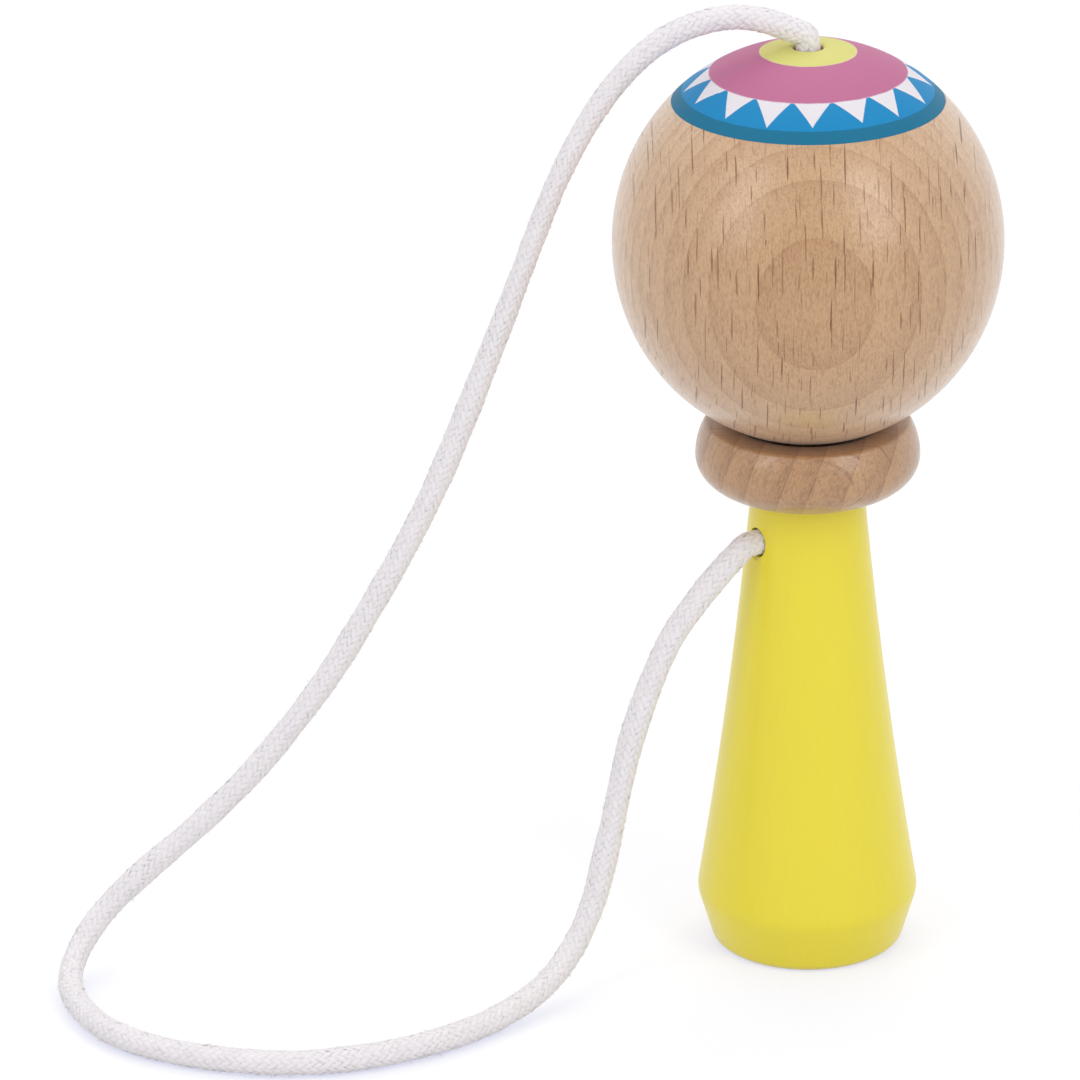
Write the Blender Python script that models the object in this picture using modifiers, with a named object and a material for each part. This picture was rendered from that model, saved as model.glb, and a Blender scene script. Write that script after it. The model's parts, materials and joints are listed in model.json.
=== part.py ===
"""Cup and ball: a turned handle that carries a cup, and a drilled ball tied to it by a cord.

Units are metres and +Z is up. The handle's foot stands on the origin. The cord hole runs
along X, and the cord leaves it on the -X side.
"""

import math

import bmesh
import bpy
from mathutils import Vector
from mathutils.geometry import interpolate_bezier

# Width that the handle's belly and the cup are both turned to
WIDEST_RADIUS = 0.0174

# Handle
HANDLE_HEIGHT = 0.0760
FOOT_RADIUS = 0.01475
FOOT_ROUNDING = 0.0020
BELLY_HEIGHT = 0.0088
BELLY_ROUNDING = 0.0050
NECK_RADIUS = 0.0088
NECK_ROUNDING = 0.0005
TAPER_HOLLOW = 0.00065
TENON_RADIUS = 0.0047

# Cup
CUP_HEIGHT = 0.0112
CUP_WIDEST_HEIGHT = 0.0057
CUP_FLANK_RADIUS = 0.0105
CUP_UNDERSIDE_RADIUS = 0.0095
RIM_ROUNDING = 0.0008
BOWL_RADIUS = 0.0116
BOWL_DEPTH = 0.0065
BOWL_EDGE_ROUNDING = 0.0006

# Ball
BALL_WIDTH = 0.0600
BALL_LENGTH = 0.0627
BALL_EDGE_ROUNDING = 0.0005
BALL_RECESS_DEPTH = 0.0110

# Cord, its stopper knots and the holes that they sit in
CORD_DIAMETER = 0.0040
CORD_CLEARANCE = 0.0003
CORD_HOLE_HEIGHT = 0.0690
CORD_STRAIGHT = 0.0010
CORD_STEP = 0.0080
KNOT_DIAMETER = 0.0086
KNOT_LENGTH = 0.0066
KNOT_CLEARANCE = 0.0005
HANDLE_RECESS_DEPTH = 0.0078

# The cord's free run in millimetres, from the handle round over the floor and up to the ball
CORD_ROUTE_MM = [
    (-13.5, -0.2, 67.5), (-17.0, 0.0, 64.5), (-20.6, 0.4, 60.7), (-23.8, 1.0, 56.5),
    (-26.5, 1.4, 51.5), (-28.9, 1.9, 45.5), (-31.2, 2.4, 38.5), (-34.4, 2.6, 25.5),
    (-36.3, 2.1, 19.8), (-38.8, 1.4, 13.8), (-42.7, 0.4, 8.2), (-49.2, -1.8, 4.1),
    (-58.9, -4.8, 2.4), (-69.4, -6.9, 2.3), (-78.2, -6.8, 2.3), (-87.3, -4.9, 2.3),
    (-95.8, -0.8, 2.3), (-103.7, 6.2, 2.3), (-109.8, 14.6, 2.3), (-112.8, 23.6, 2.3),
    (-112.5, 33.8, 2.3), (-109.8, 41.8, 2.8), (-105.7, 46.3, 5.3), (-101.0, 47.3, 9.7),
    (-95.1, 45.0, 15.9), (-87.6, 41.2, 23.3), (-79.5, 37.2, 32.2), (-71.9, 33.5, 42.5),
    (-65.2, 30.5, 53.2), (-53.4, 25.5, 76.0), (-43.0, 21.4, 102.5), (-34.6, 17.8, 126.0),
    (-30.2, 16.0, 135.4), (-25.9, 14.1, 142.3), (-21.4, 11.9, 147.5), (-16.6, 9.4, 150.9),
    (-11.3, 6.5, 152.6), (-6.6, 3.8, 152.4), (-2.9, 1.7, 150.9),
]

# Fits and facets
FIT_GAP = 0.0003
TURN_STEPS = 48
BORE_SIDES = 24
ARC_STEPS = 4
CURVE_STEPS = 10
BALL_STEPS = 34
MERGE_DISTANCE = 0.00001

# Finishes: linear colour, roughness, metallic
YELLOW_LACQUER = ((0.80, 0.70, 0.08), 0.35, 0.0)
CUP_BEECH = ((0.50, 0.32, 0.18), 0.45, 0.0)
BALL_BEECH = ((0.56, 0.37, 0.22), 0.40, 0.0)
WHITE_COTTON = ((0.84, 0.81, 0.82), 0.95, 0.0)

# Places that follow from the sizes
CUP_BOTTOM = HANDLE_HEIGHT + FIT_GAP
RIM_HEIGHT = CUP_BOTTOM + CUP_HEIGHT
BOWL_FLOOR = RIM_HEIGHT - BOWL_DEPTH
SOCKET_RADIUS = TENON_RADIUS + FIT_GAP
CORD_HOLE_RADIUS = CORD_DIAMETER / 2 + CORD_CLEARANCE
RECESS_RADIUS = KNOT_DIAMETER / 2 + KNOT_CLEARANCE


def ball_half_height(radius):
    """Return the height of the ball's surface above its centre, at a distance from its axis."""
    return BALL_LENGTH / 2 * math.sqrt(1 - (2 * radius / BALL_WIDTH) ** 2)


def taper_radius(height):
    """Return the radius of the handle's hollow taper at a height above the foot."""
    share = (height - BELLY_HEIGHT) / (HANDLE_HEIGHT - BELLY_HEIGHT)
    straight = WIDEST_RADIUS + share * (NECK_RADIUS - WIDEST_RADIUS)
    return straight - TAPER_HOLLOW * 4 * share * (1 - share)


BALL_CENTRE = RIM_HEIGHT + ball_half_height(BOWL_RADIUS) + FIT_GAP
BALL_HOLE_TOP = BALL_CENTRE + ball_half_height(CORD_HOLE_RADIUS)
BALL_RECESS_ROOF = BALL_CENTRE - ball_half_height(RECESS_RADIUS) + BALL_RECESS_DEPTH
HANDLE_AT_HOLE = taper_radius(CORD_HOLE_HEIGHT)
HANDLE_RECESS_FLOOR = HANDLE_AT_HOLE - HANDLE_RECESS_DEPTH


def clear_scene():
    """Remove every object that the file starts with."""
    for leftover in list(bpy.data.objects):
        bpy.data.objects.remove(leftover, do_unlink=True)


def add_collection(name):
    """Return a new collection linked to the scene."""
    collection = bpy.data.collections.new(name)
    bpy.context.scene.collection.children.link(collection)
    return collection


def add_material(name, finish):
    """Return a Principled material with a plain colour, roughness and metallic value."""
    colour, roughness, metallic = finish
    material = bpy.data.materials.new(name)
    material.use_nodes = True
    shader = material.node_tree.nodes["Principled BSDF"]
    shader.inputs["Base Color"].default_value = (*colour, 1.0)
    shader.inputs["Roughness"].default_value = roughness
    shader.inputs["Metallic"].default_value = metallic
    material.diffuse_color = (*colour, 1.0)
    return material


def round_corner(before, corner, after, rounding):
    """Return the points of an arc that rounds the corner of an outline."""
    back = (before - corner).normalized()
    ahead = (after - corner).normalized()
    half = back.angle(ahead) / 2
    centre = corner + (back + ahead).normalized() * (rounding / math.sin(half))
    start = corner + back * (rounding / math.tan(half)) - centre
    end = corner + ahead * (rounding / math.tan(half)) - centre
    sweep = start.angle_signed(end)
    first = math.atan2(start.y, start.x)
    turns = [first - sweep * step / ARC_STEPS for step in range(ARC_STEPS + 1)]
    return [centre + rounding * Vector((math.cos(turn), math.sin(turn))) for turn in turns]


def draw_outline(corners, closed):
    """Return an outline's points from corners of radius, height and rounding."""
    places = [Vector(corner[:2]) for corner in corners]
    points = []
    for index, corner in enumerate(corners):
        inner = closed or 0 < index < len(corners) - 1
        if inner and corner[2] > 0:
            after = places[(index + 1) % len(places)]
            points += round_corner(places[index - 1], places[index], after, corner[2])
        else:
            points.append(places[index])
    return points


def turn(name, outline, closed, material, collection):
    """Return a turned piece: an outline that runs down its outer side, swept round Z."""
    shape = bmesh.new()
    verts = [shape.verts.new((point.x, 0.0, point.y)) for point in outline]
    for first, second in zip(verts, verts[1:]):
        shape.edges.new((first, second))
    if closed:
        shape.edges.new((verts[-1], verts[0]))
    mesh = bpy.data.meshes.new(name)
    shape.to_mesh(mesh)
    shape.free()
    mesh.materials.append(material)
    piece = bpy.data.objects.new(name, mesh)
    collection.objects.link(piece)
    screw = piece.modifiers.new("turn", "SCREW")
    screw.axis = "Z"
    screw.angle = 2 * math.pi
    screw.steps = TURN_STEPS
    screw.render_steps = TURN_STEPS
    screw.use_merge_vertices = True
    screw.merge_threshold = MERGE_DISTANCE
    return piece


def drill(piece, name, start, end, radius, cutters):
    """Cut a round hole into a piece from one point to another."""
    shape = bmesh.new()
    bmesh.ops.create_cone(shape, cap_ends=True, segments=BORE_SIDES, radius1=radius,
                          radius2=radius, depth=(end - start).length)
    mesh = bpy.data.meshes.new(name)
    shape.to_mesh(mesh)
    shape.free()
    cutter = bpy.data.objects.new(name, mesh)
    cutter.location = (start + end) / 2
    cutter.rotation_euler = (end - start).to_track_quat("Z", "Y").to_euler()
    cutter.hide_render = True
    cutter.display_type = "WIRE"
    cutters.objects.link(cutter)
    cut = piece.modifiers.new(name, "BOOLEAN")
    cut.operation = "DIFFERENCE"
    cut.solver = "EXACT"
    cut.object = cutter


def build_handle(collection, cutters):
    """Build the handle with its tenon, cord hole and knot recess."""
    taper = []
    for step in range(1, CURVE_STEPS):
        height = HANDLE_HEIGHT + (BELLY_HEIGHT - HANDLE_HEIGHT) * step / CURVE_STEPS
        taper.append((taper_radius(height), height, 0.0))
    corners = [
        (0.0, BOWL_FLOOR, 0.0),
        (TENON_RADIUS, BOWL_FLOOR, 0.0),
        (TENON_RADIUS, HANDLE_HEIGHT, 0.0),
        (NECK_RADIUS, HANDLE_HEIGHT, NECK_ROUNDING),
        *taper,
        (WIDEST_RADIUS, BELLY_HEIGHT, BELLY_ROUNDING),
        (FOOT_RADIUS, 0.0, FOOT_ROUNDING),
        (0.0, 0.0, 0.0),
    ]
    material = add_material("yellow_lacquer", YELLOW_LACQUER)
    handle = turn("handle", draw_outline(corners, False), False, material, collection)
    far_side = Vector((WIDEST_RADIUS, 0.0, CORD_HOLE_HEIGHT))
    cord_side = Vector((-WIDEST_RADIUS, 0.0, CORD_HOLE_HEIGHT))
    recess_floor = Vector((HANDLE_RECESS_FLOOR, 0.0, CORD_HOLE_HEIGHT))
    drill(handle, "handle_cord_hole", cord_side, far_side, CORD_HOLE_RADIUS, cutters)
    drill(handle, "handle_knot_recess", recess_floor, far_side, RECESS_RADIUS, cutters)


def build_cup(collection):
    """Build the cup: a bowl with a flat rim, a round flank and a through socket."""
    widest = CUP_BOTTOM + CUP_WIDEST_HEIGHT
    rim_angle = math.asin((RIM_HEIGHT - widest) / CUP_FLANK_RADIUS)
    flank = []
    for step in range(ARC_STEPS + 1):
        angle = rim_angle * (1 - step / ARC_STEPS)
        radius = WIDEST_RADIUS - CUP_FLANK_RADIUS * (1 - math.cos(angle))
        rounding = RIM_ROUNDING if step == 0 else 0.0
        flank.append((radius, widest + CUP_FLANK_RADIUS * math.sin(angle), rounding))
    for step in range(1, CURVE_STEPS + 1):
        angle = math.pi / 2 * step / CURVE_STEPS
        swell = (WIDEST_RADIUS - CUP_UNDERSIDE_RADIUS) * math.cos(angle)
        height = widest - CUP_WIDEST_HEIGHT * math.sin(angle)
        flank.append((CUP_UNDERSIDE_RADIUS + swell, height, 0.0))
    sphere = (BOWL_RADIUS ** 2 + BOWL_DEPTH ** 2) / (2 * BOWL_DEPTH)
    socket_angle = math.asin(SOCKET_RADIUS / sphere)
    edge_angle = math.asin(BOWL_RADIUS / sphere)
    bowl = []
    for step in range(CURVE_STEPS):
        angle = socket_angle + (edge_angle - socket_angle) * step / CURVE_STEPS
        height = BOWL_FLOOR + sphere * (1 - math.cos(angle))
        bowl.append((sphere * math.sin(angle), height, 0.0))
    corners = [
        (BOWL_RADIUS, RIM_HEIGHT, BOWL_EDGE_ROUNDING),
        *flank,
        (SOCKET_RADIUS, CUP_BOTTOM, 0.0),
        *bowl,
    ]
    material = add_material("cup_beech", CUP_BEECH)
    turn("cup", draw_outline(corners, True), True, material, collection)


def build_ball(collection, carrier):
    """Build the ball with its cord hole and the knot recess at its lower pole."""
    top = math.acos(2 * CORD_HOLE_RADIUS / BALL_WIDTH)
    bottom = -math.acos(2 * RECESS_RADIUS / BALL_WIDTH)
    skin = []
    for step in range(BALL_STEPS + 1):
        angle = top + (bottom - top) * step / BALL_STEPS
        rounding = BALL_EDGE_ROUNDING if step in (0, BALL_STEPS) else 0.0
        radius = BALL_WIDTH / 2 * math.cos(angle)
        skin.append((radius, BALL_LENGTH / 2 * math.sin(angle), rounding))
    roof = BALL_RECESS_ROOF - BALL_CENTRE
    corners = [*skin, (RECESS_RADIUS, roof, 0.0), (CORD_HOLE_RADIUS, roof, 0.0)]
    material = add_material("ball_beech", BALL_BEECH)
    ball = turn("ball", draw_outline(corners, True), True, material, collection)
    ball.parent = carrier


def build_knot(name, material, collection):
    """Return a stopper knot: a full round bead, with its cord side at the local origin."""
    outline = []
    for step in range(CURVE_STEPS + 1):
        angle = math.pi * (0.5 - step / CURVE_STEPS)
        bulge = math.sqrt(math.cos(angle)) if 0 < step < CURVE_STEPS else 0.0
        outline.append(Vector((KNOT_DIAMETER / 2 * bulge, KNOT_LENGTH / 2 * (math.sin(angle) - 1))))
    return turn(name, outline, False, material, collection)


def smooth_through(points, start_way, end_way):
    """Return closely spaced points on a smooth curve through the given points."""
    ways = [start_way]
    ways += [(after - before).normalized() for before, after in zip(points, points[2:])]
    ways.append(end_way)
    curve = [points[0]]
    for index in range(len(points) - 1):
        first, last = points[index], points[index + 1]
        reach = (last - first).length / 3
        first_handle = first + ways[index] * reach
        last_handle = last - ways[index + 1] * reach
        curve += interpolate_bezier(first, first_handle, last_handle, last, CURVE_STEPS)[1:]
    return curve


def space_evenly(curve, spacing):
    """Return points at an even spacing along a curve, with both of its ends."""
    lengths = [0.0]
    for before, after in zip(curve, curve[1:]):
        lengths.append(lengths[-1] + (after - before).length)
    count = round(lengths[-1] / spacing)
    points = []
    index = 0
    for step in range(count + 1):
        target = lengths[-1] * step / count
        while index < len(curve) - 2 and lengths[index + 1] < target:
            index += 1
        share = (target - lengths[index]) / (lengths[index + 1] - lengths[index])
        points.append(curve[index].lerp(curve[index + 1], share))
    return points


def build_cord(material, collection):
    """Build the cord from the knot in the handle, over the floor, to the knot in the ball."""
    handle_exit = Vector((-HANDLE_AT_HOLE - CORD_STRAIGHT, 0.0, CORD_HOLE_HEIGHT))
    ball_exit = Vector((0.0, 0.0, BALL_HOLE_TOP + CORD_STRAIGHT))
    free_run = [Vector(point) / 1000 for point in CORD_ROUTE_MM]
    curve = smooth_through([handle_exit, *free_run, ball_exit], Vector((-1, 0, 0)), Vector((0, 0, -1)))
    points = [Vector((HANDLE_RECESS_FLOOR, 0.0, CORD_HOLE_HEIGHT))]
    points += space_evenly(curve, CORD_STEP)
    points.append(Vector((0.0, 0.0, BALL_RECESS_ROOF)))
    cord_curve = bpy.data.curves.new("cord", "CURVE")
    cord_curve.dimensions = "3D"
    cord_curve.bevel_depth = CORD_DIAMETER / 2
    cord_curve.bevel_resolution = 3
    cord_curve.use_fill_caps = True
    spline = cord_curve.splines.new("POLY")
    spline.points.add(len(points) - 1)
    for knot, point in zip(spline.points, points):
        knot.co = (*point, 1.0)
    cord_curve.materials.append(material)
    collection.objects.link(bpy.data.objects.new("cord", cord_curve))


def main():
    """Build every piece in its place."""
    clear_scene()
    parts = add_collection("cup_and_ball")
    cutters = add_collection("cup_and_ball_cutters")
    build_handle(parts, cutters)
    build_cup(parts)

    carrier = bpy.data.objects.new("ball_carrier", None)
    carrier.location = (0.0, 0.0, BALL_CENTRE)
    parts.objects.link(carrier)
    build_ball(parts, carrier)

    cotton = add_material("white_cotton", WHITE_COTTON)
    build_cord(cotton, parts)
    ball_knot = build_knot("ball_knot", cotton, parts)
    ball_knot.parent = carrier
    ball_knot.location = (0.0, 0.0, BALL_RECESS_ROOF - BALL_CENTRE - FIT_GAP)
    handle_knot = build_knot("handle_knot", cotton, parts)
    handle_knot.location = (HANDLE_RECESS_FLOOR + FIT_GAP, 0.0, CORD_HOLE_HEIGHT)
    handle_knot.rotation_euler = (0.0, -math.pi / 2, 0.0)


main()
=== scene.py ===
"""Looks of a cup and ball: turned and painted beech, a plaited cotton cord and a plain studio."""

from __future__ import annotations

import json
import logging
import math
from dataclasses import dataclass, field
from enum import Enum
from typing import Any, Mapping, Optional, Sequence, Union

import bmesh
import bpy
import numpy as np
from mathutils import Matrix, Vector
from mathutils.geometry import interpolate_bezier

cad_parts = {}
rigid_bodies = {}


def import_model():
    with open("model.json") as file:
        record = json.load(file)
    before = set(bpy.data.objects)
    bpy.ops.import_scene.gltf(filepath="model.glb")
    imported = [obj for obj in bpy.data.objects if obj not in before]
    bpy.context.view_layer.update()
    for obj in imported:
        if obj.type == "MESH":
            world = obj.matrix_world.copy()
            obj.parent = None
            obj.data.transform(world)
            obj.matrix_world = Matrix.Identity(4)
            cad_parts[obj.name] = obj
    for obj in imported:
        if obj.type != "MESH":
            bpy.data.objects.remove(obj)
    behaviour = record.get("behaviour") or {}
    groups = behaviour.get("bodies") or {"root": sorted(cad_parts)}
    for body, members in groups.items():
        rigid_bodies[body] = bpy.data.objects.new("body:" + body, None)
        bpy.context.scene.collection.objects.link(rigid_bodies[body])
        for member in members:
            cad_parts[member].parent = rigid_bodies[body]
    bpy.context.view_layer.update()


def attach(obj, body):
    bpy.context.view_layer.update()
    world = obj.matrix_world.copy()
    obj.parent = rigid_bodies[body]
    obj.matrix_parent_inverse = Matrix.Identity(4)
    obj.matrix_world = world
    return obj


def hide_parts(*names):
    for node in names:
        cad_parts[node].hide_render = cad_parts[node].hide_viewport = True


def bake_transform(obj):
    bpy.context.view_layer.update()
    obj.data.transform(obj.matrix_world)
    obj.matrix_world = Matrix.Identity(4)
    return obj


LOG = logging.getLogger("cup_and_ball")
MILLIMETRES = 1000.0
FULL_TURN = 2 * math.pi
TINY = 1e-9

Pair = tuple[float, float]
Point = tuple[float, float, float]
Colour = tuple[float, float, float, float]
Face = tuple[int, ...]


class Body(Enum):
    """The moving bodies that pieces ride on."""

    HANDLE = "handle"
    CORD_END = "cord_end"
    BALL = "ball"


class Slot(Enum):
    """The material slots of the record."""

    LACQUER = "yellow_lacquer"
    CUP_WOOD = "cup_beech"
    BALL_WOOD = "ball_beech"
    COTTON = "white_cotton"


class Way(Enum):
    """The two ways that yarns run round the cord."""

    RIGHT = 1
    LEFT = -1


def display_colour(red: float, green: float, blue: float) -> Colour:
    """Turn a colour as a screen shows it into linear light, by the sRGB curve.

    Args:
        red: Red, from 0 to 255.
        green: Green, from 0 to 255.
        blue: Blue, from 0 to 255.

    Returns:
        The linear colour, with full alpha.
    """
    shares = [value / 255 for value in (red, green, blue)]
    linear = [s / 12.92 if s <= 0.04045 else ((s + 0.055) / 1.055) ** 2.4 for s in shares]
    return (linear[0], linear[1], linear[2], 1.0)


def unit(rows: np.ndarray) -> np.ndarray:
    """Return rows of vectors scaled to length 1."""
    return rows / np.maximum(np.linalg.norm(rows, axis=1, keepdims=True), TINY)


def between(places: np.ndarray, run: np.ndarray, rows: np.ndarray) -> np.ndarray:
    """Return vectors at places along a run, read off between the rows that belong to it."""
    return np.stack([np.interp(places, run, column) for column in rows.T], axis=1)


class Value:
    """A socket that varies over a surface, on which operators add Math nodes."""

    def __init__(self, sheet: NodeSheet, socket: bpy.types.NodeSocket) -> None:
        """Keep the socket and the sheet that it is on."""
        self.sheet = sheet
        self.socket = socket

    def _math(self, operation: str, first: Term, second: Term = 0.0) -> Value:
        """Add one Math node and return its result."""
        return self.sheet.node("ShaderNodeMath", {"operation": operation}, {0: first, 1: second})

    def __add__(self, other: Term) -> Value:
        """Return the sum."""
        return self._math("ADD", self, other)

    def __radd__(self, other: Term) -> Value:
        """Return the sum, with this value on the right."""
        return self._math("ADD", other, self)

    def __sub__(self, other: Term) -> Value:
        """Return the difference."""
        return self._math("SUBTRACT", self, other)

    def __rsub__(self, other: Term) -> Value:
        """Return the difference, with this value on the right."""
        return self._math("SUBTRACT", other, self)

    def __mul__(self, other: Term) -> Value:
        """Return the product."""
        return self._math("MULTIPLY", self, other)

    def __rmul__(self, other: Term) -> Value:
        """Return the product, with this value on the right."""
        return self._math("MULTIPLY", other, self)

    def __truediv__(self, other: Term) -> Value:
        """Return the quotient."""
        return self._math("DIVIDE", self, other)

    def __rtruediv__(self, other: Term) -> Value:
        """Return the quotient, with this value on the right."""
        return self._math("DIVIDE", other, self)

    def __pow__(self, other: Term) -> Value:
        """Return the power."""
        return self._math("POWER", self, other)

    def __rpow__(self, other: Term) -> Value:
        """Return the power, with this value on the right."""
        return self._math("POWER", other, self)

    def __abs__(self) -> Value:
        """Return the size without its sign."""
        return self._math("ABSOLUTE", self)

    def root(self) -> Value:
        """Return the square root."""
        return self._math("SQRT", self)

    def fraction(self) -> Value:
        """Return the part after the point."""
        return self._math("FRACT", self)

    def whole(self) -> Value:
        """Return the whole part."""
        return self._math("FLOOR", self)

    def sine(self) -> Value:
        """Return the sine."""
        return self._math("SINE", self)

    def cosine(self) -> Value:
        """Return the cosine."""
        return self._math("COSINE", self)

    def turn_from(self, other: Value) -> Value:
        """Return the angle whose sides are this value and the other one."""
        return self._math("ARCTAN2", self, other)

    def clamp(self) -> Value:
        """Return the value held between 0 and 1."""
        settings = {"operation": "ADD", "use_clamp": True}
        return self.sheet.node("ShaderNodeMath", settings, {0: self, 1: 0.0})

    def swing(self) -> Value:
        """Return how far the value is above or below 0.5, the middle of all noise."""
        return self - 0.5

    def rise(self, edge: float, width: float) -> Value:
        """Return 0 below an edge and 1 above it, with a soft step of the given width."""
        return ((self - (edge - width / 2)) / width).clamp()

    def output(self, name: str) -> Value:
        """Return another output of the node that this value comes from."""
        return Value(self.sheet, self.socket.node.outputs[name])


Term = Union[Value, float, Sequence[float]]


class NodeSheet:
    """A sheet of shader nodes."""

    def __init__(self, tree: bpy.types.NodeTree) -> None:
        """Keep the tree that the nodes go into."""
        self.tree = tree

    def node(
        self,
        kind: str,
        settings: Optional[Mapping[str, Any]] = None,
        inputs: Optional[Mapping[Union[int, str], Term]] = None,
        output: Union[int, str] = 0,
    ) -> Value:
        """Add a node.

        Args:
            kind: The node's type.
            settings: Its settings, which are set first.
            inputs: The numbers or links of its sockets.
            output: The output to return.

        Returns:
            The output, as a value for further sums.
        """
        node = self.tree.nodes.new(kind)
        for name, setting in (settings or {}).items():
            setattr(node, name, setting)
        for key, term in (inputs or {}).items():
            self.feed(node.inputs[key], term)
        return Value(self, node.outputs[output])

    def feed(self, socket: bpy.types.NodeSocket, term: Term) -> None:
        """Link a value to a socket, or set a plain number on it.

        Args:
            socket: The socket.
            term: The value or the number.
        """
        if isinstance(term, Value):
            self.tree.links.new(term.socket, socket)
        else:
            socket.default_value = term

    def backdrop_share(self) -> Value:
        """Return 1 for rays that see the backdrop, and 0 for those that only carry light."""
        path = self.node("ShaderNodeLightPath", output="Is Camera Ray")
        return (path + path.output("Is Glossy Ray") + path.output("Is Transmission Ray")).clamp()


class FinishSheet(NodeSheet):
    """The node sheet of one finish."""

    def __init__(self, name: str) -> None:
        """Start a material with its shader.

        Args:
            name: The material's name.
        """
        self.material = bpy.data.materials.new(name)
        self.material.use_nodes = True
        super().__init__(self.material.node_tree)
        self.shader = self.tree.nodes["Principled BSDF"]

    def finish(self, sockets: Mapping[str, Term]) -> bpy.types.Material:
        """Feed the shader's sockets.

        Args:
            sockets: The number or link of each socket, by its name.

        Returns:
            The material.
        """
        for name, term in sockets.items():
            self.feed(self.shader.inputs[name], term)
        return self.material

    def place(self) -> Value:
        """Measure the place on the piece.

        Returns:
            The place, in millimetres.
        """
        metres = self.node("ShaderNodeTexCoord", output="Object")
        inputs = {0: metres, "Scale": MILLIMETRES}
        return self.node("ShaderNodeVectorMath", {"operation": "SCALE"}, inputs)

    def along(
        self, place: Value, way: Sequence[float], start: Sequence[float] = (0, 0, 0)
    ) -> Value:
        """Measure a place along a direction.

        Args:
            place: The place, in millimetres.
            way: The direction, of length 1.
            start: The point to measure from, in millimetres.

        Returns:
            The distance in millimetres.
        """
        settings, inputs = {"operation": "DOT_PRODUCT"}, {0: place, 1: tuple(way)}
        distance = self.node("ShaderNodeVectorMath", settings, inputs, "Value")
        return distance - float(Vector(start).dot(Vector(way)))

    def combine(self, first: Term, second: Term, third: Term) -> Value:
        """Return a vector of three numbers."""
        return self.node("ShaderNodeCombineXYZ", None, {0: first, 1: second, 2: third})

    def mix(self, share: Term, first: Term, second: Term) -> Value:
        """Return a colour between two colours."""
        inputs = {0: share, 6: first, 7: second}
        return self.node("ShaderNodeMix", {"data_type": "RGBA"}, inputs, 2)

    def noise(
        self, place: Term, scale: float, detail: float = 2.0, roughness: float = 0.5
    ) -> Value:
        """Return smooth noise from 0 to 1."""
        inputs = {"Vector": place, "Scale": scale, "Detail": detail, "Roughness": roughness}
        return self.node("ShaderNodeTexNoise", None, inputs)

    def chance(self, number: Term) -> Value:
        """Return an even random number from 0 to 1 that belongs to a whole number."""
        return self.node("ShaderNodeTexWhiteNoise", {"noise_dimensions": "1D"}, {"W": number})

    def bump(self, height: Value, distance: float) -> Value:
        """Return normals raised by a height from 0 to 1, over a distance in metres."""
        inputs = {"Height": height, "Distance": distance, "Strength": 1.0}
        return self.node("ShaderNodeBump", None, inputs)


@dataclass(frozen=True)
class Fleck:
    """A kind of ray fleck: thin upright sheets in the wood that point at the tree's heart.

    Sizes are in millimetres. The room of one fleck goes round the heart, along the grain and
    towards the heart. The half length is that of the shortest and of the longest fleck.
    """

    room: Point
    half_length: Pair
    half_width: float
    scatter: float = 0.85
    length_power: float = 1.4
    least_width: float = 0.45
    end_width: float = 0.35
    least_tone: float = 0.55
    thinness: float = 2.4
    side_edge: float = 2.0
    end_edge: float = 3.0
    depth_edge: float = 4.0

    def mask(self, sheet: FinishSheet, tangent: Value, height: Value, radius: Value) -> Value:
        """Lay flecks on a sheet.

        Args:
            sheet: The sheet of the finish.
            tangent: The place round the heart, in millimetres.
            height: The place along the grain, in millimetres.
            radius: The distance from the heart, in millimetres.

        Returns:
            A mask that is 1 on a fleck.
        """
        wide, tall, deep = self.room
        spot = sheet.combine(tangent / wide, height / tall, radius / deep)
        spread = {"Vector": spot, "Scale": 1.0, "Randomness": self.scatter}
        nearest = sheet.node("ShaderNodeTexVoronoi", None, spread, "Position")
        ends = {0: spot, 1: nearest}
        gap = sheet.node("ShaderNodeVectorMath", {"operation": "SUBTRACT"}, ends)
        parts = sheet.node("ShaderNodeSeparateXYZ", None, {0: gap}, "X")
        dice = sheet.node("ShaderNodeSeparateXYZ", None, {0: nearest.output("Color")}, "X")
        shortest, longest = self.half_length
        reach = shortest + dice ** self.length_power * (longest - shortest)
        thick = self.least_width + (1 - self.least_width) * dice.output("Y")
        width = self.half_width * thick
        end = 1 - abs(parts.output("Y")) * tall / reach
        taper = self.end_width + (1 - self.end_width) * end.clamp()
        side = 1 - abs(parts) * wide / (width * taper)
        sunk = 1 - abs(parts.output("Z")) * self.thinness
        outline = (side * self.side_edge).clamp() * (end * self.end_edge).clamp()
        tone = self.least_tone + (1 - self.least_tone) * dice.output("Z")
        return outline * (sunk * self.depth_edge).clamp() * tone


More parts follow.
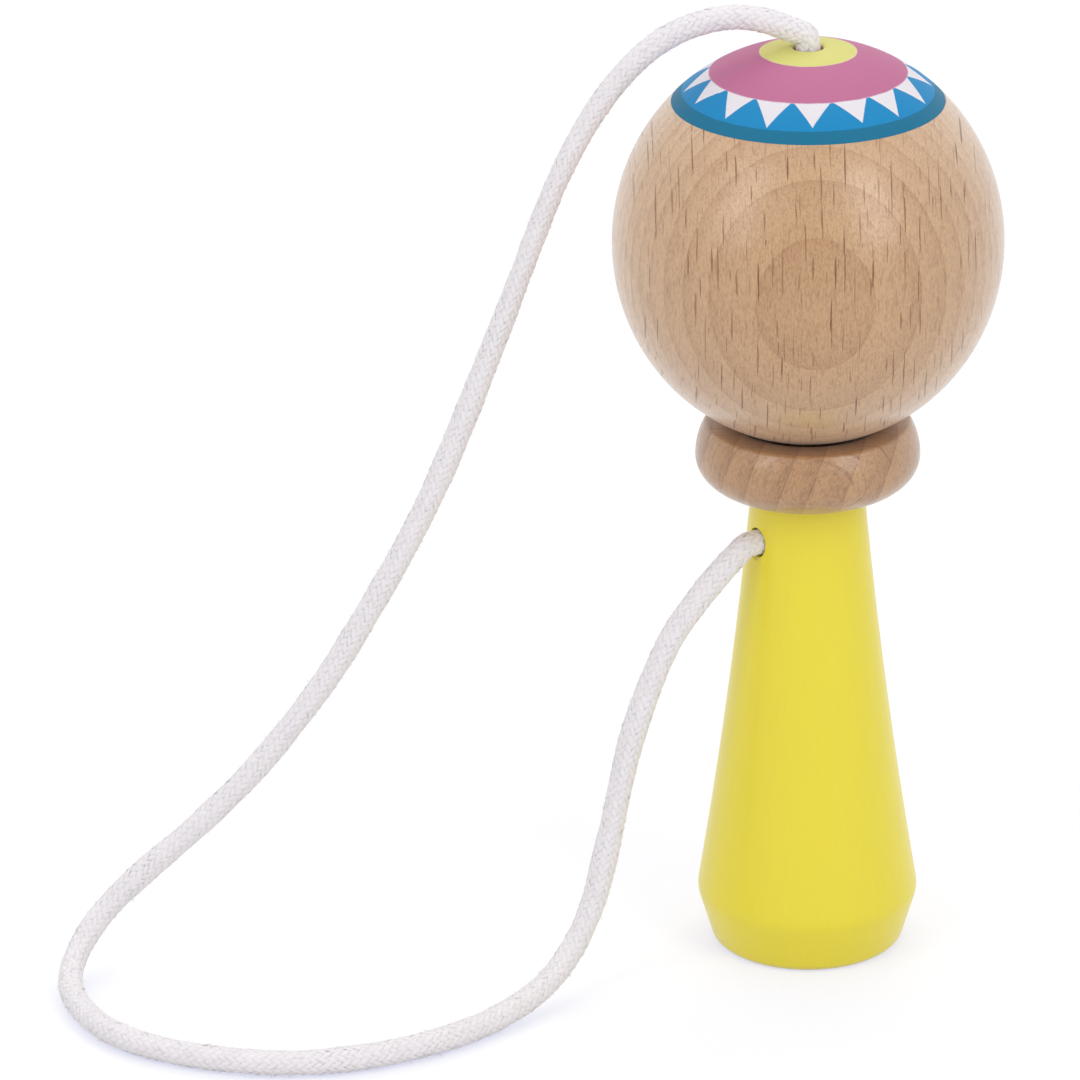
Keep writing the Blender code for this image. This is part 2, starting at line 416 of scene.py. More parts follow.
@dataclass(frozen=True)
class Beech:
    """Clear-finished beech: growth rings round the tree's heart, and flecks along the grain.

    Sizes are in millimetres, and scales are cells to the millimetre. A pair is an edge and the
    width of the soft step there.
    """

    name: str
    early_wood: Colour
    late_wood: Colour
    # Pale colour away from the heart: real sapwood on the cup, a painted sheen on the ball's sides
    # and back.
    sap_and_sheen_wood: Colour
    fleck_wood: Colour
    grain: Point
    inward: Point
    heart: Point
    ring_width: float
    ring_start: float
    ring_crowding: float
    ring_spread: float
    ring_drift: float
    ring_depth: float
    sap_and_sheen_reach: float
    fleck_share: float
    fibre_depth: float
    roughness: float
    drift_scale: float = 0.035
    spread_scale: float = 0.55
    late_power: float = 2.0
    late_share: float = 0.85
    ring_edge: Pair = (0.95, 0.08)
    ring_edge_share: float = 0.2
    sap_and_sheen_ring_fade: float = 0.45
    weave_length: float = 5.0
    weave_depth: float = 9.0
    weave_scale: float = 0.9
    weave_reach: float = 0.4
    long_fleck: Fleck = Fleck((1.85, 7.4, 9.0), (1.5, 4.8), 0.22)
    short_fleck: Fleck = Fleck((1.7, 4.4, 7.0), (0.5, 1.6), 0.15)
    short_shift: Point = (7.3, 3.1, 4.7)
    short_share: float = 0.5
    side_fade: Pair = (0.90, 0.20)
    side_fade_share: float = 0.8
    fibre_scale: Point = (3.0, 0.36, 1.2)
    fibre_level: float = 0.47
    pore_scale: float = 5.0
    pore_length: float = 0.25
    pore_edge: Pair = (0.60, 0.16)
    pore_pit: Pair = (0.62, 0.16)
    pore_dull: Pair = (0.50, 0.30)
    glint_edge: Pair = (0.42, 0.20)
    glint: float = 1.3
    speck_share: float = 0.22
    cloud_scale: float = 0.06
    cloud_level: float = 0.35
    cloud_share: float = 0.6
    bump_height: float = 0.00006

    def material(self) -> bpy.types.Material:
        """Lay the wood's pattern on a sheet.

        Returns:
            The finish as a material.
        """
        sheet = FinishSheet(self.name)
        grain = Vector(self.grain).normalized()
        inward = Vector(self.inward).normalized()
        across = grain.cross(inward).normalized()
        place = sheet.place()
        side = sheet.along(place, across, self.heart)
        depth = sheet.along(place, inward, self.heart)
        height = sheet.along(place, grain, self.heart)
        drift = sheet.noise(place, self.drift_scale, 1.0).swing()
        radius = (side * side + depth * depth).root() + drift * self.ring_drift
        base = self._rings(sheet, place, radius)

        weave_place = (side, height / self.weave_length, radius / self.weave_depth)
        weave = sheet.noise(sheet.combine(*weave_place), self.weave_scale)
        wavy = side + weave.swing() * self.weave_reach
        facing = abs(sheet.along(sheet.node("ShaderNodeTexCoord", output="Normal"), across))
        shown = self.fleck_share * (1 - self.side_fade_share * facing.rise(*self.side_fade))
        fleck = self._flecks(sheet, (wavy, height, depth)) * shown

        round_scale, long_scale, deep_scale = self.fibre_scale
        fibre_place = (side * round_scale, height * long_scale, radius * deep_scale)
        fibre = sheet.noise(sheet.combine(*fibre_place), 1.0, 4.0, 0.72)
        pore_place = (side, height * self.pore_length, radius)
        pore = sheet.noise(sheet.combine(*pore_place), self.pore_scale, 1.0)
        specked = self._specks(sheet, base, fibre, pore)
        relief = 0.7 + fibre.swing() * 0.5 - fleck * 0.12 - pore.rise(*self.pore_pit) * 0.12
        gloss = 0.95 - pore.rise(*self.pore_dull) * 0.45 - fleck * 0.2
        return sheet.finish(
            {
                "Base Color": sheet.mix(fleck, specked, self.fleck_wood),
                "Roughness": self.roughness + fibre.swing() * 0.14 + fleck * 0.1,
                "Normal": sheet.bump(relief.clamp(), self.bump_height),
                "Coat Weight": gloss.clamp(),
                "Coat Roughness": 0.24,
                "Coat IOR": 1.6,
                "Sheen Weight": 0.2,
                "Sheen Roughness": 0.5,
            }
        )

    def _rings(self, sheet: FinishSheet, place: Value, radius: Value) -> Value:
        """Lay the growth rings.

        Args:
            sheet: The sheet of the finish.
            place: The place on the piece, in millimetres.
            radius: The distance from the heart, in millimetres.

        Returns:
            The rings, paler away from the heart: cup sapwood; painted sheen on ball sides and
                back.
        """
        rings = sheet.combine(radius, 0.0, 0.0)
        spread = sheet.noise(rings, self.spread_scale / self.ring_width, 1.0)
        outward = radius - self.ring_start
        age = outward * (1 + outward * self.ring_crowding) / self.ring_width
        ring = (age + spread.swing() * self.ring_spread).fraction()
        edge = ring.rise(*self.ring_edge) * self.ring_edge_share
        late = ring ** self.late_power * self.late_share + edge
        # Share of the pale colour away from the heart: a painted sheen on the ball, real sapwood
        # on the cup.
        sap_and_sheen = (outward / self.sap_and_sheen_reach).clamp()
        cloud = (sheet.noise(place, self.cloud_scale) - self.cloud_level) * self.cloud_share
        dark = late * self.ring_depth * (1 - self.sap_and_sheen_ring_fade * sap_and_sheen) + cloud
        spring_sap_and_sheen = sheet.mix(sap_and_sheen, self.early_wood, self.sap_and_sheen_wood)
        return sheet.mix(dark.clamp(), spring_sap_and_sheen, self.late_wood)

    def _flecks(self, sheet: FinishSheet, place: tuple[Value, Value, Value]) -> Value:
        """Lay the long and the short ray flecks.

        Args:
            sheet: The sheet of the finish.
            place: The place round the heart, along the grain and towards the heart.

        Returns:
            A mask that is 1 on a fleck.
        """
        shifted = [value + shift for value, shift in zip(place, self.short_shift)]
        short = self.short_fleck.mask(sheet, *shifted)
        return (self.long_fleck.mask(sheet, *place) + short * self.short_share).clamp()

    def _specks(self, sheet: FinishSheet, base: Value, fibre: Value, pore: Value) -> Value:
        """Lay fibres, dark pores and pale specks over the rings.

        Args:
            sheet: The sheet of the finish.
            base: The colour of the rings.
            fibre: The noise of the fibres.
            pore: The noise of the pores.

        Returns:
            The colour of the wood between its flecks.
        """
        dark_fibre = ((fibre - self.fibre_level) * 3.0).clamp() * self.fibre_depth
        grained = sheet.mix(dark_fibre, base, self.fleck_wood)
        pores = pore.rise(*self.pore_edge) * self.speck_share
        pored = sheet.mix(pores, grained, self.fleck_wood)
        pale = tuple(min(1.0, self.glint * share) for share in self.early_wood)
        return sheet.mix((1 - pore.rise(*self.glint_edge)) * self.speck_share, pored, pale)


@dataclass(frozen=True)
class CapPaint:
    """Paint turned onto the top of the ball: a disc, a band, and an edge with a ring of points.

    Sizes are in millimetres, and a spread is how far chance moves a value.
    """

    name: str
    disc: Colour
    band: Colour
    ground: Colour
    edge: Colour
    points: Colour
    disc_radius: float = 7.4
    band_radius: float = 15.1
    ground_radius: float = 19.2
    point_count: int = 16
    point_turn: float = -120.0
    point_half: float = 0.455
    half_spread: float = 0.03
    half_draw: float = 31.0
    tip_gap: float = 0.2
    tip_spread: float = 0.5
    tip_draw: float = 57.0
    lean_spread: float = 0.3
    line: float = 0.10
    # Share of the points' white laid on the ridges as a painted highlight.
    ridge_highlight_share: float = 0.28
    ridge_width: float = 0.16
    waver: float = 0.16
    brush_rings: float = 2.2
    bump_height: float = 0.00005

    def material(self) -> bpy.types.Material:
        """Lay the paint on a sheet.

        Returns:
            The paint as a material.
        """
        sheet = FinishSheet(self.name)
        place = sheet.place()
        right = sheet.along(place, (1, 0, 0))
        away = sheet.along(place, (0, 1, 0))
        waver = sheet.noise(place, 0.5, 1.0).swing()
        radius = (right * right + away * away).root() + waver * self.waver
        brush_place = sheet.combine(radius * self.brush_rings, waver, 0.0)
        brush = sheet.noise(brush_place, 1.4, 3.0, 0.6)
        speck = sheet.noise(place, 2.6, 3.0, 0.6)
        ground = sheet.mix(self._points(sheet, right, away, radius), self.ground, self.points)
        ringed = sheet.mix(radius.rise(self.ground_radius, self.line), ground, self.edge)
        banded = sheet.mix(radius.rise(self.band_radius, self.line), self.band, ringed)
        paint = sheet.mix(radius.rise(self.disc_radius, self.line), self.disc, banded)
        ridge = self._ridges(radius)
        # Painted highlight: a thin line of the points' white along both ridges.
        ridge_highlighted = sheet.mix(ridge * self.ridge_highlight_share, paint, self.points)
        tone = 0.95 + 0.07 * brush + 0.05 * speck
        streaked = sheet.node("ShaderNodeHueSaturation", None, {"Value": tone, "Color": ridge_highlighted})
        relief = 0.4 + brush.swing() * 0.3 + speck.swing() * 0.3 + ridge * 0.3
        return sheet.finish(
            {
                "Base Color": streaked,
                "Roughness": 0.52 + 0.12 * speck.swing(),
                "Normal": sheet.bump(relief.clamp(), self.bump_height),
                "Specular IOR Level": 0.3,
            }
        )

    def _points(self, sheet: FinishSheet, right: Value, away: Value, radius: Value) -> Value:
        """Lay the ring of points.

        Args:
            sheet: The sheet of the finish.
            right: The place along X, in millimetres.
            away: The place along Y, in millimetres.
            radius: The distance from the ball's axis, in millimetres.

        Returns:
            A mask that is 1 on a point.
        """
        sector = FULL_TURN / self.point_count
        share = away.turn_from(right) / sector - math.radians(self.point_turn) / sector + 0.5
        number = share.whole()
        turn = share.fraction().swing() * sector
        half_chance = sheet.chance(number + self.half_draw).swing()
        half = sector * (self.point_half + self.half_spread * half_chance)
        tip_chance = sheet.chance(number + self.tip_draw)
        tip = self.ground_radius - self.tip_gap - self.tip_spread * tip_chance
        out = tip - radius * turn.cosine()
        lean = sheet.chance(number).swing() * self.lean_spread
        foot = self.band_radius * math.cos(sector * self.point_half)
        slope = self.band_radius * half / (tip - foot)
        offset = abs(radius * turn.sine() + lean * (radius - self.band_radius))
        return ((out * slope - offset) / self.line + 0.5).clamp()

    def _ridges(self, radius: Value) -> Value:
        """Lay the thin ridges that the paint leaves on both sides of the band.

        Args:
            radius: The distance from the ball's axis, in millimetres.

        Returns:
            A mask that is 1 on a ridge.
        """
        inner, outer = (
            (1 - abs(radius - edge) / self.ridge_width).clamp()
            for edge in (self.disc_radius, self.band_radius)
        )
        return inner + outer


@dataclass(frozen=True)
class Lacquer:
    """Opaque lacquer on turned wood, with bare wood where a glued tenon goes in.

    Sizes are in millimetres, and a pair is an edge and the width of the soft step there.
    """

    name: str
    colour: Colour
    thin_colour: Colour
    bare_wood: Colour
    bare_above: float
    bare_edge: float = 0.2
    end_grain: float = 0.62
    foot_edge: Pair = (0.6, 1.2)
    wear_edge: Pair = (0.58, 0.2)
    bore_reach: Pair = (8.6, 0.5)
    bore_gap: float = 0.08
    bore_edge: float = 0.1
    bump_height: float = 0.00003

    def material(self) -> bpy.types.Material:
        """Lay the lacquer and the bare wood on a sheet.

        Returns:
            The finish as a material.
        """
        sheet = FinishSheet(self.name)
        place = sheet.place()
        right = sheet.along(place, (1, 0, 0))
        away = sheet.along(place, (0, 1, 0))
        height = sheet.along(place, (0, 0, 1))
        turned_place = sheet.combine(right * 0.12, away * 0.12, height * 2.6)
        turned = sheet.noise(turned_place, 1.0, 3.0, 0.6)
        grain_place = sheet.combine(right * 1.2, away * 1.2, height * 0.04)
        grain = sheet.noise(grain_place, 1.0, 3.0, 0.6)
        peel = sheet.noise(place, 0.75)
        cloud = sheet.noise(place, 0.05)
        worn = sheet.noise(place, 0.9, 3.0).rise(*self.wear_edge)
        foot_wear = (1 - height.rise(*self.foot_edge)) * worn
        thin = (grain.swing() * 0.45 + cloud.swing() * 0.4 + 0.2 + foot_wear * 0.5).clamp()
        paint = sheet.mix(thin, self.colour, self.thin_colour)
        raw = self._bare(right, away, height)
        ends = sheet.noise(place, 2.4, 4.0, 0.65) * 0.8
        dark = tuple(self.end_grain * share for share in self.bare_wood[:3]) + (1.0,)
        wood = sheet.mix(ends, self.bare_wood, dark)
        relief = 0.5 + turned.swing() * 0.35 + grain.swing() * 0.25 + peel.swing() * 0.4
        smooth = 0.33 + peel.swing() * 0.08 + thin * 0.06
        return sheet.finish(
            {
                "Base Color": sheet.mix(raw, paint, wood),
                "Roughness": smooth * (1 - raw) + 0.75 * raw,
                "Normal": sheet.bump(relief.clamp(), self.bump_height),
                "Coat Weight": 0.2 * (1 - raw),
                "Coat Roughness": 0.22,
            }
        )

    def _bare(self, right: Value, away: Value, height: Value) -> Value:
        """Find the bare wood: the tenon, and the drilled hole with its wider end.

        Args:
            right: The place along X, in millimetres.
            away: The place along Y, in millimetres.
            height: The place along Z, in millimetres.

        Returns:
            A mask that is 1 where no lacquer reaches.
        """
        tenon = height.rise(self.bare_above, self.bare_edge)
        inside = 1 - (right * right + away * away).root().rise(*self.bore_reach)
        lift = height - Handle.hole_height * MILLIMETRES
        reach = (away * away + lift * lift).root()
        narrow, wide = (
            1 - reach.rise(radius * MILLIMETRES + self.bore_gap, self.bore_edge)
            for radius in (Handle.hole_radius, Handle.recess_radius)
        )
        bored = (narrow + wide * right.rise(0.0, self.bare_edge)).clamp()
        return (tenon + bored * inside).clamp()


@dataclass(frozen=True)
class Cotton:
    """Soft white cotton: fibres along each yarn, and painted shade in the gaps between yarns."""

    name: str
    crown: Colour
    hollow: Colour
    bump_height: float = 0.00008

    def material(self) -> bpy.types.Material:
        """Lay the yarns' tones on a sheet.

        Returns:
            The finish as a material.
        """
        sheet = FinishSheet(self.name)
        lift = sheet.node("ShaderNodeAttribute", {"attribute_name": "lift"}, None, "Fac")
        run = sheet.node("ShaderNodeAttribute", {"attribute_name": "fibre"}, None, "Vector")
        fibre = sheet.noise(run, 1.0, 3.0, 0.65)
        cloud = sheet.noise(sheet.place(), 0.22)
        # Painted shade: a low lift darkens the gaps, the yarns passing under and the yarns' inner
        # sides.
        depth = (lift + fibre.swing() * 0.5 + cloud.swing() * 0.25).clamp()
        return sheet.finish(
            {
                "Base Color": sheet.mix(depth, self.hollow, self.crown),
                "Roughness": 0.92,
                "Normal": sheet.bump((fibre * 0.8 + 0.1).clamp(), self.bump_height),
                "Specular IOR Level": 0.2,
                "Sheen Weight": 0.35,
                "Sheen Roughness": 0.6,
            }
        )


@dataclass(frozen=True)
class PaleFloor:
    """A white studio floor that keeps soft shadows."""

    name: str
    colour: Colour
    seen_colour: Colour
    glow: Colour
    light: float
    share: float

    def material(self) -> bpy.types.Material:
        """Lay the floor's white on a sheet.

        Returns:
            The finish as a material.
        """
        sheet = FinishSheet(self.name)
        seen = sheet.backdrop_share()
        colour = sheet.mix(seen, self.colour, self.seen_colour)
        sheet.finish({"Base Color": colour, "Roughness": 0.9, "Specular IOR Level": 0.1})
        glow = sheet.node("ShaderNodeEmission", None, {"Color": self.glow, "Strength": self.light})
        surface = Value(sheet, sheet.shader.outputs[0])
        layers = {0: seen * self.share, 1: surface, 2: glow}
        mixed = sheet.node("ShaderNodeMixShader", None, layers)
        sheet.feed(sheet.tree.nodes["Material Output"].inputs["Surface"], mixed)
        return sheet.material


class Turnery:
    """Outlines and surfaces of turned pieces."""

    ARC_STEP = math.radians(7)
    FEWEST_ARC_STEPS = 4

    @classmethod
    def round_corner(
        cls, before: Vector, corner: Vector, after: Vector, rounding: float
    ) -> list[Vector]:
        """Round a corner of an outline.

        Args:
            before: The outline's point before the corner.
            corner: The corner.
            after: The outline's point after the corner.
            rounding: The radius of the arc.

        Returns:
            The points of the arc.
        """
        back = (before - corner).normalized()
        ahead = (after - corner).normalized()
        half = back.angle(ahead) / 2
        centre = corner + (back + ahead).normalized() * (rounding / math.sin(half))
        start = corner + back * (rounding / math.tan(half)) - centre
        end = corner + ahead * (rounding / math.tan(half)) - centre
        sweep = start.angle_signed(end)
        first = math.atan2(start.y, start.x)
        steps = max(cls.FEWEST_ARC_STEPS, round(abs(sweep) / cls.ARC_STEP))
        turns = [first - sweep * step / steps for step in range(steps + 1)]
        return [centre + rounding * Vector((math.cos(turn), math.sin(turn))) for turn in turns]

    @classmethod
    def outline(cls, corners: Sequence[Point], closed: bool) -> list[Vector]:
        """Draw an outline.

        Args:
            corners: Corners of radius, height and rounding.
            closed: Whether the last corner joins the first.

        Returns:
            The outline's points of radius and height.
        """
        places = [Vector(corner[:2]) for corner in corners]
        points: list[Vector] = []
        for index, corner in enumerate(corners):
            inner = closed or 0 < index < len(corners) - 1
            if inner and corner[2] > 0:
                after = places[(index + 1) % len(places)]
                points += cls.round_corner(places[index - 1], places[index], after, corner[2])
            else:
                points.append(places[index])
        return points

    @staticmethod
    def turn(
        name: str, outline: Sequence[Vector], closed: bool, steps: int
    ) -> bpy.types.Object:
        """Turn an outline that runs down the outer side of a piece.

        Args:
            name: The piece's name.
            outline: Points of radius and height.
            closed: Whether the outline is a loop.
            steps: The number of faces round the axis.

        Returns:
            The turned piece.
        """
        shape = bmesh.new()
        ways = [(math.cos(a), math.sin(a)) for a in np.arange(steps) * FULL_TURN / steps]
        rings = []
        for radius, height in outline:
            if radius < TINY:
                rings.append([shape.verts.new((0.0, 0.0, height))] * steps)
            else:
                rings.append([shape.verts.new((radius * x, radius * y, height)) for x, y in ways])
        pairs = list(zip(rings, rings[1:]))
        if closed:
            pairs.append((rings[-1], rings[0]))
        for upper, lower in pairs:
            for step in range(steps):
                ahead = (step + 1) % steps
                corners = [upper[step], lower[step], lower[ahead], upper[ahead]]
                shape.faces.new(list(dict.fromkeys(corners)))
        bmesh.ops.recalc_face_normals(shape, faces=shape.faces)
        return Bench.piece(name, shape)


class Bench:
    """Meshes made into pieces of the scene."""

    SHARP_ANGLE = math.radians(38)

    @staticmethod
    def place(name: str, data: bpy.types.ID) -> bpy.types.Object:
        """Put a mesh, a lamp or a camera into the scene.

        Args:
            name: The object's name.
            data: What it shows.

        Returns:
            The object.
        """
        item = bpy.data.objects.new(name, data)
        bpy.context.scene.collection.objects.link(item)
        return item

    @classmethod
    def piece(cls, name: str, shape: bmesh.types.BMesh) -> bpy.types.Object:
        """Make a smooth-shaded piece of a shape and free the shape.

        Args:
            name: The piece's name.
            shape: The shape.

        Returns:
            The piece.
        """
        mesh = bpy.data.meshes.new(name)
        shape.to_mesh(mesh)
        shape.free()
        return cls.smooth(name, mesh)

    @classmethod
    def smooth(cls, name: str, mesh: bpy.types.Mesh) -> bpy.types.Object:
        """Put a mesh into the scene, smooth where its faces meet at a flat angle.

        Args:
            name: The piece's name.
            mesh: The mesh.

        Returns:
            The piece.
        """
        mesh.shade_smooth()
        mesh.set_sharp_from_angle(angle=cls.SHARP_ANGLE)
        return cls.place(name, mesh)

    @classmethod
    def cut(
        cls, piece: bpy.types.Object, cutters: Sequence[bpy.types.Object]
    ) -> bpy.types.Object:
        """Cut shapes out of a piece and remove them.

        Args:
            piece: The piece to cut.
            cutters: The shapes to take out of it.

        Returns:
            The cut piece, with its own mesh.
        """
        for cutter in cutters:
            step = piece.modifiers.new(cutter.name, "BOOLEAN")
            step.operation = "DIFFERENCE"
            step.solver = "EXACT"
            step.object = cutter
        shaped = piece.evaluated_get(bpy.context.evaluated_depsgraph_get())
        mesh = bpy.data.meshes.new_from_object(shaped)
        name = piece.name
        for leftover in (piece, *cutters):
            bpy.data.objects.remove(leftover, do_unlink=True)
        return cls.smooth(name, mesh)

    @staticmethod
    def dress(
        piece: bpy.types.Object, material: bpy.types.Material, slot: Slot, node: str
    ) -> None:
        """Give a piece its finish, and let it stand for a CAD node.

        Args:
            piece: The piece.
            material: Its finish.
            slot: Its slot in the record; not used.
            node: The CAD node that it stands for.
        """
        piece.data.materials.clear()
        piece.data.materials.append(material)
        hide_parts(node)


@dataclass
class Handle:
    """The turned handle with its tenon, cord hole and knot recess."""

    height: float = 0.0760
    foot_radius: float = 0.01475
    foot_rounding: float = 0.0020
    belly_radius: float = 0.0174
    belly_height: float = 0.0088
    belly_rounding: float = 0.0050
    neck_radius: float = 0.0088
    neck_rounding: float = 0.0005
    taper_hollow: float = 0.00065
    taper_end: float = 0.0060
    taper_rings: int = 64
    tenon_radius: float = 0.0047
    tenon_top: float = 0.0810
    tenon_rounding: float = 0.0002
    hole_height: float = 0.0690
    hole_radius: float = 0.0023
    recess_radius: float = 0.0048
    recess_depth: float = 0.0078
    mouth_rounding: float = 0.00045
    mouth_steps: int = 8
    drill_shank: float = 0.004
    drill_overlap: float = 0.0001
    drill_steps: int = 64
    steps: int = 144
    bare_gap: float = 0.1

    def taper_radius(self, height: float) -> float:
        """Measure the hollow taper.

        Args:
            height: The height above the foot.

        Returns:
            The taper's radius there.
        """
        share = (height - self.belly_height) / (self.height - self.belly_height)
        straight = self.belly_radius + share * (self.neck_radius - self.belly_radius)
        return straight - self.taper_hollow * 4 * share * (1 - share)

    def cord_exit(self) -> Vector:
        """Return the point where the cord leaves the handle."""
        return Vector((-self.taper_radius(self.hole_height), 0.0, self.hole_height))

    def recess_floor(self) -> Vector:
        """Return the middle of the recess floor."""
        floor = self.taper_radius(self.hole_height) - self.recess_depth
        return Vector((floor, 0.0, self.hole_height))

    def build(self) -> bpy.types.Object:
        """Turn and drill the handle.

        Returns:
            The handle.
        """
        taper = []
        lowest = self.belly_height + self.taper_end
        highest = self.height - self.neck_rounding * 2
        for step in range(1, self.taper_rings):
            height = highest + (lowest - self.height) * step / self.taper_rings
            taper.append((self.taper_radius(height), height, 0.0))
        corners = [
            (0.0, self.tenon_top, 0.0),
            (self.tenon_radius, self.tenon_top, self.tenon_rounding),
            (self.tenon_radius, self.height, 0.0),
            (self.neck_radius, self.height, self.neck_rounding),
            *taper,
            (self.belly_radius, self.belly_height, self.belly_rounding),
            (self.foot_radius, 0.0, self.foot_rounding),
            (0.0, 0.0, 0.0),
        ]
        outline = Turnery.outline(corners, False)
        handle = Turnery.turn("handle_turned", outline, False, self.steps)
        surface = self.taper_radius(self.hole_height)
        floor = surface - self.recess_depth
        hole = self._drill("cord_hole", self.hole_radius, -surface, surface + self.drill_overlap)
        recess = self._drill("knot_recess", self.recess_radius, surface, floor)
        return Bench.cut(handle, [hole, recess])

    def _drill(self, name: str, radius: float, mouth: float, end: float) -> bpy.types.Object:
        """Make a drill with a rounded flare where it enters the handle.

        Args:
            name: The drill's name.
            radius: The radius of the hole.
            mouth: The place of its mouth along X.
            end: The place of its end along X.

        Returns:
            The drill, to cut with.
        """
        flare = self.mouth_rounding
        outward = math.copysign(1.0, mouth)
        top = abs(mouth)
        shank = top + self.drill_shank
        points = [Vector((0.0, shank)), Vector((radius + flare, shank))]
        for step in range(self.mouth_steps + 1):
            angle = math.pi / 2 * step / self.mouth_steps
            wide = radius + flare * (1 - math.sin(angle))
            low = top - flare * (1 - math.cos(angle)) + self.drill_overlap
            points.append(Vector((wide, low)))
        points += [Vector((radius, outward * end)), Vector((0.0, outward * end))]
        drill = Turnery.turn(name, points, False, self.drill_steps)
        quarter = Matrix.Rotation(outward * math.pi / 2, 4, "Y")
        drill.data.transform(Matrix.Translation((0.0, 0.0, self.hole_height)) @ quarter)
        return drill

    def dress(self, piece: bpy.types.Object) -> None:
        """Lacquer the handle and let it ride.

        Args:
            piece: The handle.
        """
        lacquer = Lacquer(
            name="lemon_lacquer",
            colour=display_colour(242, 225, 52),
            thin_colour=display_colour(232, 214, 58),
            bare_wood=display_colour(196, 160, 118),
            bare_above=self.height * MILLIMETRES + self.bare_gap,
        )
        Bench.dress(piece, lacquer.material(), Slot.LACQUER, "handle")
        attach(piece, Body.HANDLE.value)


@dataclass
class Cup:
    """The turned cup: a bowl with a flat rim, a round flank and a through socket."""

    bottom: float = 0.0763
    height: float = 0.0112
    widest_radius: float = 0.0174
    widest_height: float = 0.0057
    flank_radius: float = 0.0105
    flank_rings: int = 12
    underside_radius: float = 0.0095
    underside_rings: int = 28
    socket_radius: float = 0.0050
    bowl_radius: float = 0.0116
    bowl_depth: float = 0.0065
    bowl_rings: int = 24
    rim_rounding: float = 0.0008
    bowl_rounding: float = 0.0006
    steps: int = 160
    grain_lean: float = math.radians(20)
    heart_distance: float = 70.0

    def build(self) -> bpy.types.Object:
        """Turn the cup.

        Returns:
            The cup.
        """
        rim = self.bottom + self.height
        corners = [
            (self.bowl_radius, rim, self.bowl_rounding),
            *self._flank(rim),
            (self.socket_radius, self.bottom, 0.0),
            *self._bowl(rim - self.bowl_depth),
        ]
        return Turnery.turn("cup_turned", Turnery.outline(corners, True), True, self.steps)

    def _flank(self, rim: float) -> list[Point]:
        """Draw the round flank and the underside.

        Args:
            rim: The height of the rim.

        Returns:
            The corners from the rim down to the underside.
        """
        widest = self.bottom + self.widest_height
        rim_angle = math.asin((rim - widest) / self.flank_radius)
        flank = []
        for step in range(self.flank_rings + 1):
            angle = rim_angle * (1 - step / self.flank_rings)
            radius = self.widest_radius - self.flank_radius * (1 - math.cos(angle))
            rounding = self.rim_rounding if step == 0 else 0.0
            flank.append((radius, widest + self.flank_radius * math.sin(angle), rounding))
        for step in range(1, self.underside_rings + 1):
            angle = math.pi / 2 * step / self.underside_rings
            swell = (self.widest_radius - self.underside_radius) * math.cos(angle)
            height = widest - self.widest_height * math.sin(angle)
            flank.append((self.underside_radius + swell, height, 0.0))
        return flank

    def _bowl(self, floor: float) -> list[Point]:
        """Draw the bowl as a part of a sphere.

        Args:
            floor: The height of its lowest point.

        Returns:
            The corners from the socket up to the rim.
        """
        sphere = (self.bowl_radius ** 2 + self.bowl_depth ** 2) / (2 * self.bowl_depth)
        first = math.asin(self.socket_radius / sphere)
        last = math.asin(self.bowl_radius / sphere)
        bowl = []
        for step in range(self.bowl_rings):
            angle = first + (last - first) * step / self.bowl_rings
            bowl.append((sphere * math.sin(angle), floor + sphere * (1 - math.cos(angle)), 0.0))
        return bowl

    def dress(self, piece: bpy.types.Object) -> None:
        """Finish the cup and let it ride.

        Args:
            piece: The cup.
        """
        right = Vector((math.cos(Studio.azimuth), math.sin(Studio.azimuth), 0.0))
        up = Vector((0.0, 0.0, 1.0))
        grain = right * math.sin(self.grain_lean) + up * math.cos(self.grain_lean)
        inward = right * math.cos(self.grain_lean) - up * math.sin(self.grain_lean)
        heart = up * (self.bottom * MILLIMETRES) - inward * self.heart_distance
        beech = Beech(
            name="cup_wood",
            early_wood=display_colour(190, 146, 101),
            late_wood=display_colour(148, 102, 62),
            sap_and_sheen_wood=display_colour(202, 162, 121),
            fleck_wood=display_colour(108, 66, 34),
            grain=tuple(grain),
            inward=tuple(inward),
            heart=tuple(heart),
            ring_width=4.6,
            ring_start=70.0,
            ring_crowding=0.0,
            ring_spread=1.2,
            ring_drift=3.0,
            ring_depth=0.6,
            sap_and_sheen_reach=30.0,
            fleck_share=0.45,
            fibre_depth=0.6,
            roughness=0.44,
        )
        Bench.dress(piece, beech.material(), Slot.CUP_WOOD, "cup")
        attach(piece, Body.HANDLE.value)


